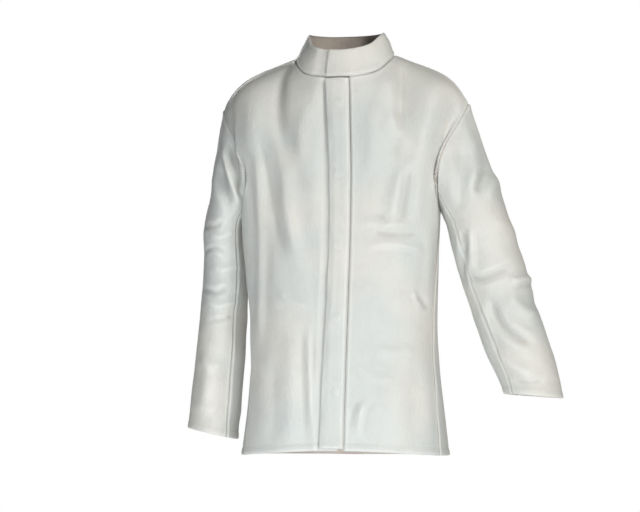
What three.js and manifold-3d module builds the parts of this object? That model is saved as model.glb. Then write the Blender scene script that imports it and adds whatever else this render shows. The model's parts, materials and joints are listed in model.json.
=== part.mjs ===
// Leather welding jacket, millimetres, +Z up, front faces -Y, wearer's left is +X.
// The origin is the middle of the neck opening, level with the collar seam at the shoulders.
import * as THREE from 'three';
import Module from 'manifold-3d';

const wasm = await Module();
wasm.setup();

// Leather layers
const LEATHER = 2.2;          // thickness of a body panel
const FACING = 1.4;           // thickness of a lining or facing layer
const SEAM_GAP = 0.3;         // clearance left between two sewn or touching layers

// Torso
const NECK_HALF_WIDTH = 101;  // collar seam, side to side
const NECK_HALF_DEPTH = 79;   // collar seam, front to back
const NECK_CENTRE_Y = -17;
const FRONT_NECK_Z = -57;     // bottom of the collar at the centre front
const HEM_FRONT_Z = -785;
const HEM_SIDE_Z = -795;
const HEM_BACK_Z = -800;
const CHEST_Z = -330;         // height where the armholes end and plain tube begins
const FRONT_SLOPE = 0.0616;   // how far the straight front edge leans out per mm of drop
const FRONT_Y = -96;          // front edge at the neck
const FLAT_HALF = 28;         // half width of the flat strip down the middle of the front
const FRONT_SQUARENESS = 2.6;
const BACK_SQUARENESS = 2.3;
// height, half width, back depth, depth of the widest point, angle of the side seam
const SECTIONS = [
  [-800, 206, 133, 15, 62],
  [-680, 192, 123, 10, 68],
  [-560, 183, 115, 8, 75],
  [-430, 186, 114, 7, 83],
  [CHEST_Z, 190, 112, 6, 90],
];

// Front opening
const FLAP_SEAM_X = 22.1;     // edge of the left front where the storm flap is sewn on
const FLAP_WIDTH = 43.5;
const FLAP_TOP_DROP = 3;      // flap starts this far below the collar seam
const FLAP_LENGTH = 722;
const UNDERLAP_X = 10;        // edge of the right front, under the flap
const UNDERLAP_DIP = 3;       // how far the right front sinks under the flap
const FLAP_OUT = 1.2;         // flap's outer face above the left front at its seam
const SNAP_COUNT = 5;
const SNAP_FIRST = 54;        // first snap below the collar seam
const SNAP_PITCH = 141;
const FRONT_FACING_WIDTH = 40;

// Collar
const COLLAR_TOP_HALF_WIDTH = 79;
const COLLAR_TOP_HALF_DEPTH = 74;
const COLLAR_TOP_CENTRE_Y = -16;
const TAB_WIDTH = 47;         // part of the left collar that closes over the right one
const COLLAR_DIP = 4.5;       // how far the right collar end sinks under the tab

// Turned edges, as shares of the length from hem to chest and of the forearm
const HEM_TURN = 0.045;
const CUFF_TURN = 0.1;

const leather = new THREE.MeshStandardMaterial({ color: 0xd9d8d1, roughness: 0.62, metalness: 0 });
const facing = new THREE.MeshStandardMaterial({ color: 0xb9b3a6, roughness: 0.85, metalness: 0 });
const nickel = new THREE.MeshStandardMaterial({ color: 0xc9c9c6, roughness: 0.3, metalness: 1 });

const V = (x, y, z) => new THREE.Vector3(x, y, z);
const vec = (a) => V(a[0], a[1], a[2]);
const rad = THREE.MathUtils.degToRad;
const neckAngleAt = (x) => Math.asin(x / NECK_HALF_WIDTH) * 180 / Math.PI;
const lerp = THREE.MathUtils.lerp;
const smooth = THREE.MathUtils.smoothstep;

// Smooth value from rows of [x, value...], for column k
function table(rows, x, k = 1) {
  const n = rows.length;
  let i = 0;
  while (i < n - 2 && x > rows[i + 1][0]) i++;
  const slope = (j) => {
    const a = rows[Math.max(0, j - 1)], b = rows[Math.min(n - 1, j + 1)];
    return (b[k] - a[k]) / (b[0] - a[0]);
  };
  const w = rows[i + 1][0] - rows[i][0];
  const t = THREE.MathUtils.clamp((x - rows[i][0]) / w, 0, 1);
  const t2 = t * t, t3 = t2 * t;
  return rows[i][k] * (2 * t3 - 3 * t2 + 1) + slope(i) * w * (t3 - 2 * t2 + t)
    + rows[i + 1][k] * (3 * t2 - 2 * t3) + slope(i + 1) * w * (t3 - t2);
}

// Catmull-Rom point list with `parts` steps between two given points
function refine(points, parts) {
  const curve = new THREE.CatmullRomCurve3(points, false, 'centripetal');
  const out = [];
  const n = points.length - 1;
  for (let i = 0; i <= n * parts; i++) out.push(curve.getPoint(i / (n * parts)));
  return out;
}

// ---------------------------------------------------------------- sheets
// A sheet is a grid of points; its solid lies between two depths under the points.
function normals(grid, inside, loop) {
  const m = grid.length, k = grid[0].length;
  const at = (i, j) => grid[loop ? (i + m) % m : THREE.MathUtils.clamp(i, 0, m - 1)][THREE.MathUtils.clamp(j, 0, k - 1)];
  let vote = 0;
  const out = grid.map((column, i) => column.map((p, j) => {
    const du = at(i + 1, j).clone().sub(at(i - 1, j));
    const dv = at(i, j + 1).clone().sub(at(i, j - 1));
    const n = du.cross(dv).normalize();
    vote += Math.sign(n.dot(p.clone().sub(inside(p))));
    return n;
  }));
  if (vote < 0) out.forEach((column) => column.forEach((n) => n.negate()));
  return out;
}

// A sheet {points, norms} with its four edges pulled inward by the given amounts
function trim(points, norms, { start = 0, end = 0, low = 0, high = 0 }) {
  const g = points.map((c) => c.map((p) => p.clone()));
  const n = norms.map((c) => c.map((p) => p.clone()));
  const m = g.length, k = g[0].length;
  const pull = (i, j, i2, j2, by) => {
    const t = by / g[i][j].distanceTo(g[i2][j2]);
    g[i][j].lerp(g[i2][j2], t);
    n[i][j].lerp(n[i2][j2], t);
  };
  for (let j = 0; j < k; j++) {
    if (start) pull(0, j, 1, j, start);
    if (end) pull(m - 1, j, m - 2, j, end);
  }
  for (let i = 0; i < m; i++) {
    if (low) pull(i, 0, i, 1, low);
    if (high) pull(i, k - 1, i, k - 2, high);
  }
  return [g, n];
}

function solid(grid, norms, top, bottom, loop = false) {
  const m = grid.length, k = grid[0].length, layer = m * k;
  const position = [];
  for (const depth of [top, bottom]) {
    for (let i = 0; i < m; i++) {
      for (let j = 0; j < k; j++) {
        const p = grid[i][j].clone().addScaledVector(norms[i][j], -depth);
        position.push(p.x, p.y, p.z);
      }
    }
  }
  const id = (i, j, l) => l * layer + (i % m) * k + j;
  const faces = [];
  const quad = (a, b, c, d) => faces.push(a, b, c, a, c, d);
  const last = loop ? m : m - 1;
  for (let i = 0; i < last; i++) {
    for (let j = 0; j < k - 1; j++) {
      quad(id(i, j, 0), id(i + 1, j, 0), id(i + 1, j + 1, 0), id(i, j + 1, 0));
      quad(id(i, j, 1), id(i, j + 1, 1), id(i + 1, j + 1, 1), id(i + 1, j, 1));
    }
    quad(id(i, 0, 0), id(i, 0, 1), id(i + 1, 0, 1), id(i + 1, 0, 0));
    quad(id(i, k - 1, 0), id(i + 1, k - 1, 0), id(i + 1, k - 1, 1), id(i, k - 1, 1));
  }
  if (!loop) {
    for (let j = 0; j < k - 1; j++) {
      quad(id(0, j, 0), id(0, j + 1, 0), id(0, j + 1, 1), id(0, j, 1));
      quad(id(m - 1, j, 0), id(m - 1, j, 1), id(m - 1, j + 1, 1), id(m - 1, j + 1, 0));
    }
  }
  const geometry = new THREE.BufferGeometry();
  geometry.setAttribute('position', new THREE.Float32BufferAttribute(position, 3));
  let volume = 0;
  const at = (v) => V(position[3 * v], position[3 * v + 1], position[3 * v + 2]);
  for (let f = 0; f < faces.length; f += 3) {
    volume += at(faces[f]).dot(at(faces[f + 1]).cross(at(faces[f + 2])));
  }
  if (volume < 0) faces.reverse();
  geometry.setIndex(faces);
  geometry.computeVertexNormals();
  return geometry;
}

const slice = (grid, norms, i0, i1, rows) => [grid, norms].map((g) => g.slice(i0, i1 + 1).map((c) => c.slice(0, rows + 1)));
const mirrored = (p) => V(-p.x, p.y, p.z);

const jacket = new THREE.Group();
jacket.name = 'leather_welding_jacket';
function add(parent, name, geometry, material) {
  const mesh = new THREE.Mesh(geometry, material);
  mesh.name = name;
  parent.add(mesh);
}
function group(name, parent = jacket) {
  const g = new THREE.Group();
  g.name = name;
  parent.add(g);
  return g;
}

// ---------------------------------------------------------------- torso surface
const frontY = (z) => FRONT_Y - FRONT_SLOPE * (FRONT_NECK_Z - z);

// Collar seam, by angle from the centre front
const NECK_HEIGHT = [[-30, -51], [0, -57], [24, -53.5], [48, -41], [70, -18], [90, -3], [102.4, 4], [140, 8], [180, 9], [220, 8]];
function neck(angle) {
  const a = Math.abs(angle);
  return V(NECK_HALF_WIDTH * Math.sin(rad(angle)),
    NECK_CENTRE_Y - NECK_HALF_DEPTH * Math.cos(rad(a)),
    table(NECK_HEIGHT, a));
}

// Half of a level section: theta 0 at the centre front, 180 at the centre back
function section(z, theta) {
  const w = table(SECTIONS, z, 1), back = table(SECTIONS, z, 2), wide = table(SECTIONS, z, 3);
  const s = Math.sin(rad(theta)), c = Math.cos(rad(theta));
  if (theta <= 90) {
    const q = 2 / FRONT_SQUARENESS;
    return V(FLAT_HALF + (w - FLAT_HALF) * s ** q, frontY(z) + (wide - frontY(z)) * (1 - c ** q), z);
  }
  const q = 2 / BACK_SQUARENESS;
  return V(w * s ** q, wide + (back - wide) * (-c) ** q, z);
}

const SHOULDER_TIP = [250, 8, -98];
const UNDERARM = [190, 6, -312];
const NECK_FRONT_ANGLES = [24, 36, 48, 62, 76, 90];
const NECK_BACK_ANGLES = [117, 133, 149, 165];
const NECK_SIDE_ANGLE = 102.4;
// shoulder seam: point, then the direction in which the front arrives there
const SHOULDER = [
  [140, 2, -13, -0.35, 0.88, 0.33], [180, 4, -28, -0.12, 0.94, 0.26],
  [212, 6, -46, 0.14, 0.95, 0.12], [238, 7, -78, 0.42, 0.88, -0.05],
];
const ARMHOLE_FRONT = [
  [...SHOULDER_TIP, 0.62, 0.72, -0.2], [228, -30, -125, 0.84, 0.5, -0.05], [207, -52, -160, 0.82, 0.38, 0.4],
  [193, -63, -205, 0.78, 0.44, 0.4], [188, -50, -262, 0.5, 0.45, 0.74], [189, -22, -298, 0.15, 0.2, 0.97], [...UNDERARM, 0, 0, 1],
];
const ARMHOLE_BACK = [
  [...UNDERARM, 0, 0, 1], [192, 32, -300, 0.15, -0.2, 0.97], [199, 56, -268, 0.5, -0.45, 0.74],
  [212, 74, -215, 0.75, -0.4, 0.45], [226, 66, -166, 0.75, -0.45, 0.35], [240, 42, -126, 0.8, -0.55, 0],
  [...SHOULDER_TIP, 0.62, -0.72, -0.2],
];

// A column is a top point, its arriving direction and its place on the level sections
function columns(rows, places) {
  const tops = refine(rows.map((r) => V(r[0], r[1], r[2])), 2);
  const ways = refine(rows.map((r) => V(r[3], r[4], r[5])), 2);
  const at = refine(places.map((p, i) => V(i, p, 0)), 2);
  return tops.map((top, i) => ({ top, way: ways[i].normalize(), place: at[i].y }));
}

const NECK_FRONT_WAYS = [[-0.05, 0.15, 0.98], [-0.15, 0.3, 0.94], [-0.3, 0.4, 0.87], [-0.45, 0.5, 0.74], [-0.6, 0.5, 0.62], [-0.75, 0.45, 0.5]];
const NECK_SIDE_WAY = [-0.5, 0.8, 0.35];
const NECK_BACK_WAYS = [[-0.65, -0.5, 0.6], [-0.45, -0.6, 0.65], [-0.3, -0.6, 0.7], [-0.1, -0.5, 0.85]];
const frontNeck = NECK_FRONT_ANGLES.map((a, i) => ({
  top: neck(a), way: vec(NECK_FRONT_WAYS[i]).normalize(), x: [38, 55, 71, 85, 97, 108][i],
}));
const neckSide = { top: neck(NECK_SIDE_ANGLE), way: vec(NECK_SIDE_WAY).normalize(), x: 118 };
const frontShoulder = SHOULDER.map((r, i) => ({
  top: vec(r), way: vec(r.slice(3)).normalize(), x: [129, 140, 150, 159][i],
}));
const sideOf = (x) => Math.asin(((x - FLAT_HALF) / (table(SECTIONS, CHEST_Z, 1) - FLAT_HALF)) ** (FRONT_SQUARENESS / 2)) * 180 / Math.PI;
const frontArmhole = columns(ARMHOLE_FRONT, [sideOf(166), sideOf(171), sideOf(176), sideOf(182), sideOf(187), 85, 90]);

// Points of one front column, hem first
const LOW_ROWS = 5;
const HIGH_ROWS = 6;
function column(c, back = false) {
  const theta = c.place ?? (c.x > FLAT_HALF ? sideOf(c.x) : 0);
  const points = [];
  const hem = table([[0, HEM_FRONT_Z], [90, HEM_SIDE_Z], [180, HEM_BACK_Z]], theta);
  const place = (z) => {
    const seam = table(SECTIONS, z, 4);
    if (!back && c.x !== undefined && c.x <= FLAT_HALF) return V(c.x, frontY(z), z);
    return section(z, back ? seam + (theta - 90) * (180 - seam) / 90 : theta * seam / 90);
  };
  const turn = [0, HEM_TURN, 0.25, 0.5, 0.75];
  for (let j = 0; j < LOW_ROWS; j++) points.push(place(lerp(hem, CHEST_Z, turn[j])));
  const start = place(CHEST_Z);
  const reach = start.distanceTo(c.top) * 0.36;
  const lean = back ? 0 : FRONT_SLOPE * (1 - theta / 90);
  const a = start.clone().addScaledVector(V(0, lean, 1).normalize(), reach);
  const b = c.top.clone().addScaledVector(c.way, -reach * (1 - 0.7 * Math.abs(c.way.x)));
  const curve = new THREE.CubicBezierCurve3(start, a, b, c.top);
  for (let j = 0; j <= HIGH_ROWS; j++) points.push(curve.getPoint(j / HIGH_ROWS));
  return points;
}
const inTorso = (p) => V(0, -5, Math.min(p.z, -120));

// Where sheets meet at a seam, their edges are cut along one shared direction
const seams = new Map();
const seamKey = (p) => [p.x, p.y, p.z].map((v) => Math.round(v * 20)).join();
function meet(p, normal, sleeve = false) {
  const key = seamKey(p);
  if (!seams.has(key)) seams.set(key, { torso: [], sleeve: [] });
  seams.get(key)[sleeve ? 'sleeve' : 'torso'].push(normal);
}
function shareSeams() {
  const mean = (list) => list.reduce((sum, n) => sum.add(n), V(0, 0, 0)).normalize();
  for (const { torso, sleeve } of seams.values()) {
    const a = mean(torso);
    torso.forEach((n) => n.copy(a));
    if (!sleeve.length || a.dot(sleeve[0]) < -0.2) continue;
    const both = a.clone().add(sleeve[0]).normalize();
    [...torso, ...sleeve].forEach((n) => n.copy(both));
  }
}

// Front and back sheets: { points, norms }
function frontSheet(side) {
  const left = side === 'left';
  const cut = left ? [{ top: neck(neckAngleAt(FLAP_SEAM_X)), way: V(0, FRONT_SLOPE, 1), x: FLAP_SEAM_X }]
    : [-UNDERLAP_X, 0, 10, 23, 32].map((x) => ({
      top: neck(neckAngleAt(x)), way: V(0, FRONT_SLOPE, 1), x,
    }));
  const all = [...cut, ...frontNeck, neckSide, ...frontShoulder, ...frontArmhole];
  const points = all.map((c) => column(c));
  if (!left) {
    points.forEach((c) => c.forEach((p) => {
      p.y += UNDERLAP_DIP * (1 - smooth(p.x, 24, 36));
      p.x *= -1;
    }));
  }
  const norms = normals(points, inTorso);
  const top = points[0].length - 1;
  points.forEach((c, i) => { if (i > cut.length) meet(c[top], norms[i][top]); });
  points.at(-1).forEach((p, j) => { if (j < top) meet(p, norms.at(-1)[j]); });
  return { points, norms };
}
function backSheet() {
  const shoulder = SHOULDER.map((r, i) => ({
    top: vec(r), way: V(r[3], -r[4], r[5]).normalize(), place: [147, 141, 135, 129][i],
  })).reverse();
  const neckCurve = NECK_BACK_ANGLES.map((a, i) => ({
    top: neck(a), way: vec(NECK_BACK_WAYS[i]).normalize(), place: [156.5, 162, 168, 174][i],
  }));
  const side = { top: neck(NECK_SIDE_ANGLE), way: vec(NECK_SIDE_WAY).multiply(V(1, -1, 1)).normalize(), place: 152 };
  const half = [
    ...columns(ARMHOLE_BACK, [90, 94, 100, 106, 112, 118, 124]), ...shoulder, side, ...neckCurve,
  ].map((c) => column(c, true));
  const middle = column({ top: neck(180), way: V(0, -0.45, 0.9), place: 180 }, true);
  const points = [...half, middle, ...half.map((c) => c.map(mirrored)).reverse()];
  const norms = normals(points, inTorso);
  const top = middle.length - 1;
  points.forEach((c, i) => {
    if (i === 0 || i === points.length - 1) c.forEach((p, j) => meet(p, norms[i][j]));
    else meet(c[top], norms[i][top]);
  });
  return { points, norms };
}

const SEAM_TRIM = SEAM_GAP / 2;
const INNER = LEATHER + SEAM_GAP;
function addFront(parent, side, { points, norms }) {
  const edge = points.findIndex((c) => Math.abs(c[6].x) > FLAP_SEAM_X + FRONT_FACING_WIDTH - 10);
  let panel = solid(...trim(points, norms, { end: SEAM_TRIM, high: SEAM_TRIM }), 0, LEATHER);
  const inner = trim(points.slice(0, edge + 1), norms.slice(0, edge + 1), { low: 1, high: SEAM_TRIM });
  let lining = solid(...inner, INNER, INNER + FACING);
  if (side === 'right') {
    panel = drill(panel);
    lining = drill(lining);
  }
  add(parent, `front_${side}_panel`, panel, leather);
  add(parent, `front_${side}_facing`, lining, facing);
  const hem = trim(...hemRows(points.slice(edge), norms.slice(edge)), { start: SEAM_GAP, end: 1.5, low: 1 });
  add(parent, `hem_facing_${side}`, solid(...hem, INNER, INNER + FACING), facing);
}
const hemRows = (...grids) => grids.map((g) => g.map((c) => c.slice(0, 2)));
function addBack(parent, { points, norms }) {
  const panel = trim(points, norms, { start: SEAM_TRIM, end: SEAM_TRIM, high: SEAM_TRIM });
  add(parent, 'back_panel', solid(...panel, 0, LEATHER), leather);
  const hem = trim(...hemRows(points, norms), { start: 1.5, end: 1.5, low: 1 });
  add(parent, 'hem_facing_back', solid(...hem, INNER, INNER + FACING), facing);
}

// ---------------------------------------------------------------- front opening frame
// x across, d outward from the front surface, s down from the collar seam
const DOWN = V(0, -FRONT_SLOPE, -1).normalize();
const OUT = V(0, -1, FRONT_SLOPE).normalize();
const opening = (x, d, s) => V(x, FRONT_Y, FRONT_NECK_Z).addScaledVector(OUT, d).addScaledVector(DOWN, s);

// Turned hardware: profile rows are [radius, d], centred on the snap line at s
const SNAP_SEGMENTS = 12;
function turned(profile, s) {
  const g = new THREE.LatheGeometry(profile.map(([r, d]) => new THREE.Vector2(r, d)), SNAP_SEGMENTS);
  const basis = new THREE.Matrix4().makeBasis(V(1, 0, 0), OUT, V(1, 0, 0).cross(OUT));
  basis.setPosition(opening(0, 0, s));
  return g.applyMatrix4(basis);
}
function weld(geometry) {
  const p = geometry.attributes.position, index = geometry.index;
  const seen = new Map(), ids = [], points = [];
  for (let i = 0; i < p.count; i++) {
    const key = [p.getX(i), p.getY(i), p.getZ(i)].map((v) => Math.round(v * 1e4)).join();
    if (!seen.has(key)) {
      seen.set(key, points.length / 3);
      points.push(p.getX(i), p.getY(i), p.getZ(i));
    }
    ids.push(seen.get(key));
  }
  const faces = [];
  for (let f = 0; f < index.count; f += 3) {
    const t = [0, 1, 2].map((k) => ids[index.getX(f + k)]);
    if (t[0] !== t[1] && t[1] !== t[2] && t[0] !== t[2]) faces.push(...t);
  }
  return { points, faces };
}
function manifold(geometry) {
  const { points, faces } = weld(geometry);
  let m = new wasm.Manifold(new wasm.Mesh({
    numProp: 3, vertProperties: new Float32Array(points), triVerts: new Uint32Array(faces),
  }));
  if (m.volume() < 0) {
    faces.reverse();
    m = new wasm.Manifold(new wasm.Mesh({
      numProp: 3, vertProperties: new Float32Array(points), triVerts: new Uint32Array(faces),
    }));
  }
  return m;
}
function geometryOf(m) {
  const mesh = m.getMesh();
  const g = new THREE.BufferGeometry();
  g.setAttribute('position', new THREE.Float32BufferAttribute(mesh.vertProperties, 3));
  g.setIndex(Array.from(mesh.triVerts));
  g.computeVertexNormals();
  return g;
}
const snapRows = Array.from({ length: SNAP_COUNT }, (_, i) => SNAP_FIRST + SNAP_PITCH * i);
const rod = (radius, d0, d1, s) => turned([[0, d0], [radius, d0], [radius, d1], [0, d1]], s);
const cutAll = (geometry, tools) => geometryOf(tools.reduce((m, tool) => m.subtract(manifold(tool)), manifold(geometry)));

// Snap hardware sizes
const POST_RADIUS = 1.2;
const HOLE_RADIUS = POST_RADIUS + SEAM_GAP;
const STUD_RADIUS = 5.6;
const KNOB_RADIUS = 2.9;
const SOCKET_RADIUS = 5.8;
const BORE_RADIUS = KNOB_RADIUS + 0.8;
const CAP_RADIUS = 6;
function drill(geometry) {
  return cutAll(geometry, snapRows.map((s) => rod(HOLE_RADIUS, -30, 30, s)));
}

// Heights of the closed snap stack above the undisturbed front surface
const lapTop = -UNDERLAP_DIP;
const studTop = lapTop + SEAM_GAP + 0.6;
const knobTop = studTop + 1.5;
const socketLow = studTop + SEAM_GAP;
const socketRoof = knobTop + 0.3;
const socketTop = socketRoof + 0.5;
const flapFacingLow = socketTop + SEAM_GAP;
const flapFacingTop = flapFacingLow + FACING;
const flapLow = flapFacingTop + SEAM_GAP;
const capTop = flapLow + 0.6;
const lapLow = lapTop - LEATHER - SEAM_GAP - FACING;

function addLapSnaps(parent) {
  snapRows.forEach((s, i) => {
    const g = group(`stud_${i + 1}_set`, parent);
    add(g, `snap_stud_${i + 1}`, turned([[HOLE_RADIUS, lapTop + SEAM_GAP], [STUD_RADIUS, lapTop + SEAM_GAP], [STUD_RADIUS, studTop],
      [KNOB_RADIUS - 0.3, studTop], [KNOB_RADIUS, knobTop - 0.5], [KNOB_RADIUS - 0.6, knobTop], [HOLE_RADIUS, knobTop],
      [HOLE_RADIUS, lapTop + SEAM_GAP]], s), nickel);
    add(g, `snap_post_${i + 1}`, turned([[0, lapLow - SEAM_GAP - 0.7], [4.6, lapLow - SEAM_GAP - 0.7], [4.6, lapLow - SEAM_GAP],
      [POST_RADIUS, lapLow - SEAM_GAP], [POST_RADIUS, knobTop - 0.6], [0, knobTop - 0.6]], s), nickel);
  });
}

// ---------------------------------------------------------------- storm flap
// Cross section: outer face of the flap over the snaps, hinge edge first
function flapGrid() {
  const seamX = FLAP_SEAM_X - SEAM_GAP;
  const free = FLAP_SEAM_X - SEAM_GAP - FLAP_WIDTH;
  const thick = LEATHER + SEAM_GAP + FACING;
  const crown = flapFacingLow + thick;
  const profile = [[seamX, FLAP_OUT], [15, lerp(FLAP_OUT, crown, 0.5)], [8.5, crown], [0, crown], [-8.5, crown],
    [-15, lerp(FLAP_OUT, crown, 0.55)], [free, FLAP_OUT + 0.2]];
  const rows = [0, 0.25, 0.5, 0.75, 1].map((t) => FLAP_TOP_DROP + t * FLAP_LENGTH);
  return profile.map(([x, d]) => rows.map((s) => opening(x, d, s)));
}
function addFlap(parent) {
  const grid = flapGrid();
  const flat = grid.map((c) => c.map(() => OUT.clone()));
  const pockets = snapRows.map((s) => rod(CAP_RADIUS + SEAM_GAP, flapLow - 1, capTop + SEAM_GAP, s));
  const outer = solid(grid, flat, 0, LEATHER);
  add(parent, 'storm_flap_outer', cutAll(outer, pockets), leather);
  const inner = trim(grid, flat, { end: 2.5, low: 1.5, high: 1.5 });
  add(parent, 'storm_flap_facing', drill(solid(...inner, INNER, INNER + FACING)), facing);
  snapRows.forEach((s, i) => {
    const g = group(`socket_${i + 1}_set`, parent);
    add(g, `snap_socket_${i + 1}`, turned([[BORE_RADIUS, socketLow], [SOCKET_RADIUS, socketLow], [SOCKET_RADIUS, socketTop],
      [HOLE_RADIUS, socketTop], [HOLE_RADIUS, socketRoof], [BORE_RADIUS, socketRoof], [BORE_RADIUS, socketLow]], s), nickel);
    add(g, `snap_cap_${i + 1}`, turned([[0, socketRoof + 0.1], [POST_RADIUS, socketRoof + 0.1], [POST_RADIUS, flapLow],
      [CAP_RADIUS, flapLow], [CAP_RADIUS - 0.4, capTop], [0, capTop]], s), nickel);
  });
}

// ---------------------------------------------------------------- collar
const COLLAR_HEIGHT = [[-30, 2], [0, -2], [24, 2], [48, 13], [70, 34], [90, 46], [102.4, 49], [140, 54], [180, 56], [220, 54]];
function collarColumn(angle, dip = 0) {
  const a = Math.abs(angle);
  const low = neck(angle).add(V(0, 0, SEAM_GAP + 0.1));
  const high = V(COLLAR_TOP_HALF_WIDTH * Math.sin(rad(angle)),
    COLLAR_TOP_CENTRE_Y - COLLAR_TOP_HALF_DEPTH * Math.cos(rad(a)), table(COLLAR_HEIGHT, a));
  return [0, 0.33, 0.67, 1].map((t) => low.clone().lerp(high, t).add(V(0, dip, 0)));
}
const outOfNeck = (p) => V(p.x / NECK_HALF_WIDTH ** 2, (p.y - NECK_CENTRE_Y) / NECK_HALF_DEPTH ** 2, 0).normalize().setZ(0.1).normalize();
function addCollar(parent) {
  const lapAngles = [-23, -12, 0, neckAngleAt(UNDERLAP_X)];
  const angles = [neckAngleAt(FLAP_SEAM_X), ...NECK_FRONT_ANGLES, NECK_SIDE_ANGLE, ...NECK_BACK_ANGLES, 180];
  const right = [...NECK_BACK_ANGLES.map((a) => -a).reverse(), -NECK_SIDE_ANGLE,
    ...NECK_FRONT_ANGLES.filter((a) => a > 30).map((a) => -a).reverse(), -29, ...lapAngles];
  const dipAt = (a) => COLLAR_DIP * smooth(a, -36, -20);
  const grid = [...angles.map((a) => collarColumn(a)), ...right.map((a) => collarColumn(a, dipAt(a)))];
  const norms = grid.map((c) => c.map(outOfNeck));
  add(parent, 'collar_outer', solid(grid, norms, 0, LEATHER), leather);
  add(parent, 'collar_lining', solid(...trim(grid, norms, { high: 1 }), INNER, INNER + FACING), facing);
}
function addTab(parent) {
  const hinge = neckAngleAt(FLAP_SEAM_X - SEAM_GAP);
  const end = neckAngleAt(FLAP_SEAM_X - SEAM_GAP - TAB_WIDTH);
  const grid = [0, 0.25, 0.5, 0.75, 1].map((t) => collarColumn(lerp(hinge, end, t)));
  const norms = grid.map((c) => c.map(outOfNeck));
  add(parent, 'collar_tab_outer', solid(grid, norms, 0, LEATHER), leather);
  add(parent, 'collar_tab_lining', solid(...trim(grid, norms, { end: 1, high: 1 }), INNER, INNER + FACING), facing);
}

// Loop inside the back of the neck, for a coat hook
const LOOP_HEIGHT = 9;
function addHangerLoop(parent) {
  const y = NECK_CENTRE_Y + NECK_HALF_DEPTH - LEATHER - FACING - 2 * SEAM_GAP - 0.7;
  const outline = [[-34, -6.3], [-25, -3.6], [-20, -9], [-12, -11.5], [12, -11.5], [20, -9], [25, -3.6], [34, -6.3],
    [34.4, -8.3], [25.4, -5.7], [20.6, -11], [12.4, -13.5], [-12.4, -13.5], [-20.6, -11], [-25.4, -5.7], [-34.4, -8.3]];
  const shape = new THREE.Shape(outline.map(([px, py]) => new THREE.Vector2(px, y + py)));
  const g = new THREE.ExtrudeGeometry(shape, { depth: LOOP_HEIGHT, bevelEnabled: false });
  g.translate(0, 0, 12);
  add(parent, 'hanger_loop', g, facing);
}

// ---------------------------------------------------------------- sleeves
// centre, direction down the arm, half width across, half depth front to back
const SLEEVES = {
  left: {
    upper: [[[262, 10, -324], [0.30, 0.02, -0.954], 62, 70], [[281, 12, -393], [0.29, 0, -0.957], 63, 67],
      [[299, 14, -458], [0.28, -0.02, -0.96], 67, 64]],
    lower: [[[320, 6, -522], [0.29, -0.2, -0.93], 63, 60], [[347, -10, -598], [0.29, -0.2, -0.93], 60, 56],
      [[370, -26, -668], [0.14, -0.02, -0.99], 56, 52]],
  },
  right: {
    upper: [[[-243, 18, -332], [-0.07, 0.1, -0.99], 44, 76], [[-246, 24, -395], [-0.07, 0.08, -0.99], 44, 73],
      [[-249, 28, -456], [-0.07, 0, -0.99], 46, 69]],
    lower: [[[-254, 22, -540], [-0.07, -0.12, -0.99], 48, 63], [[-260, 12, -645], [-0.07, -0.12, -0.99], 50, 58],
      [[-267, 2, -755], [-0.22, -0.02, -0.975], 52, 54]],
  },
};
const UNDER_FROM = 9;         // loop steps, counted from the shoulder, where the under sleeve begins
const UNDER_TO = 16;

// Closed ring of `count` points; step 0 outside, then front, inside, back
function ring([centre, direction, a, b], count, flip) {
  const along = vec(direction).normalize();
  const outward = V(flip, 0, 0).addScaledVector(along, -along.x * flip).normalize();
  const forward = outward.clone().cross(along).multiplyScalar(flip);
  if (forward.y > 0) forward.negate();
  return Array.from({ length: count }, (_, i) => {
    const t = 2 * Math.PI * i / count;
    return vec(centre).addScaledVector(outward, a * Math.cos(t)).addScaledVector(forward, b * Math.sin(t));
  });
}
const between = (r0, r1, t) => r0.map((p, i) => p.clone().lerp(r1[i], t));
const midRow = (rings, t) => rings[0].map((_, i) => {
  const curve = new THREE.CatmullRomCurve3(rings.map((r) => r[i]), false, 'centripetal');
  return curve.getPoint(t);
});

function sleeveSheet(side, armhole) {
  const flip = side === 'left' ? 1 : -1;
  const count = armhole.length;
  const away = V(0.8 * flip, 0, -0.6).multiplyScalar(SEAM_GAP + 0.35);
  const first = armhole.map((p) => p.clone().add(away));
  const rows = [...SLEEVES[side].upper, ...SLEEVES[side].lower];
  const rings = rows.map((r) => ring(r, count, flip));
  const elbow = 3 + SLEEVES[side].upper.length - 1;
  const steps = [0, 1 / 6, 1 / 3, 1 / 2, 2 / 3, 1 - CUFF_TURN, 1];
  const low = rings.slice(SLEEVES[side].upper.length - 1);
  const all = [first, between(first, rings[0], 0.33), between(first, rings[0], 0.68),
    ...rings.slice(0, SLEEVES[side].upper.length), ...steps.slice(1).map((t) => midRow(low, t))];
  const points = first.map((_, i) => all.map((r) => r[i]));
  const centres = rows.map((r) => vec(r[0]));
  const inside = (p) => centres.reduce((best, c) => (c.distanceTo(p) < best.distanceTo(p) ? c : best)).clone().setZ(Math.min(p.z, -240));
  const norms = normals(points, inside, true);
  armhole.forEach((p, i) => meet(p, norms[i][0], true));
  return { points, norms, elbow };
}
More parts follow.
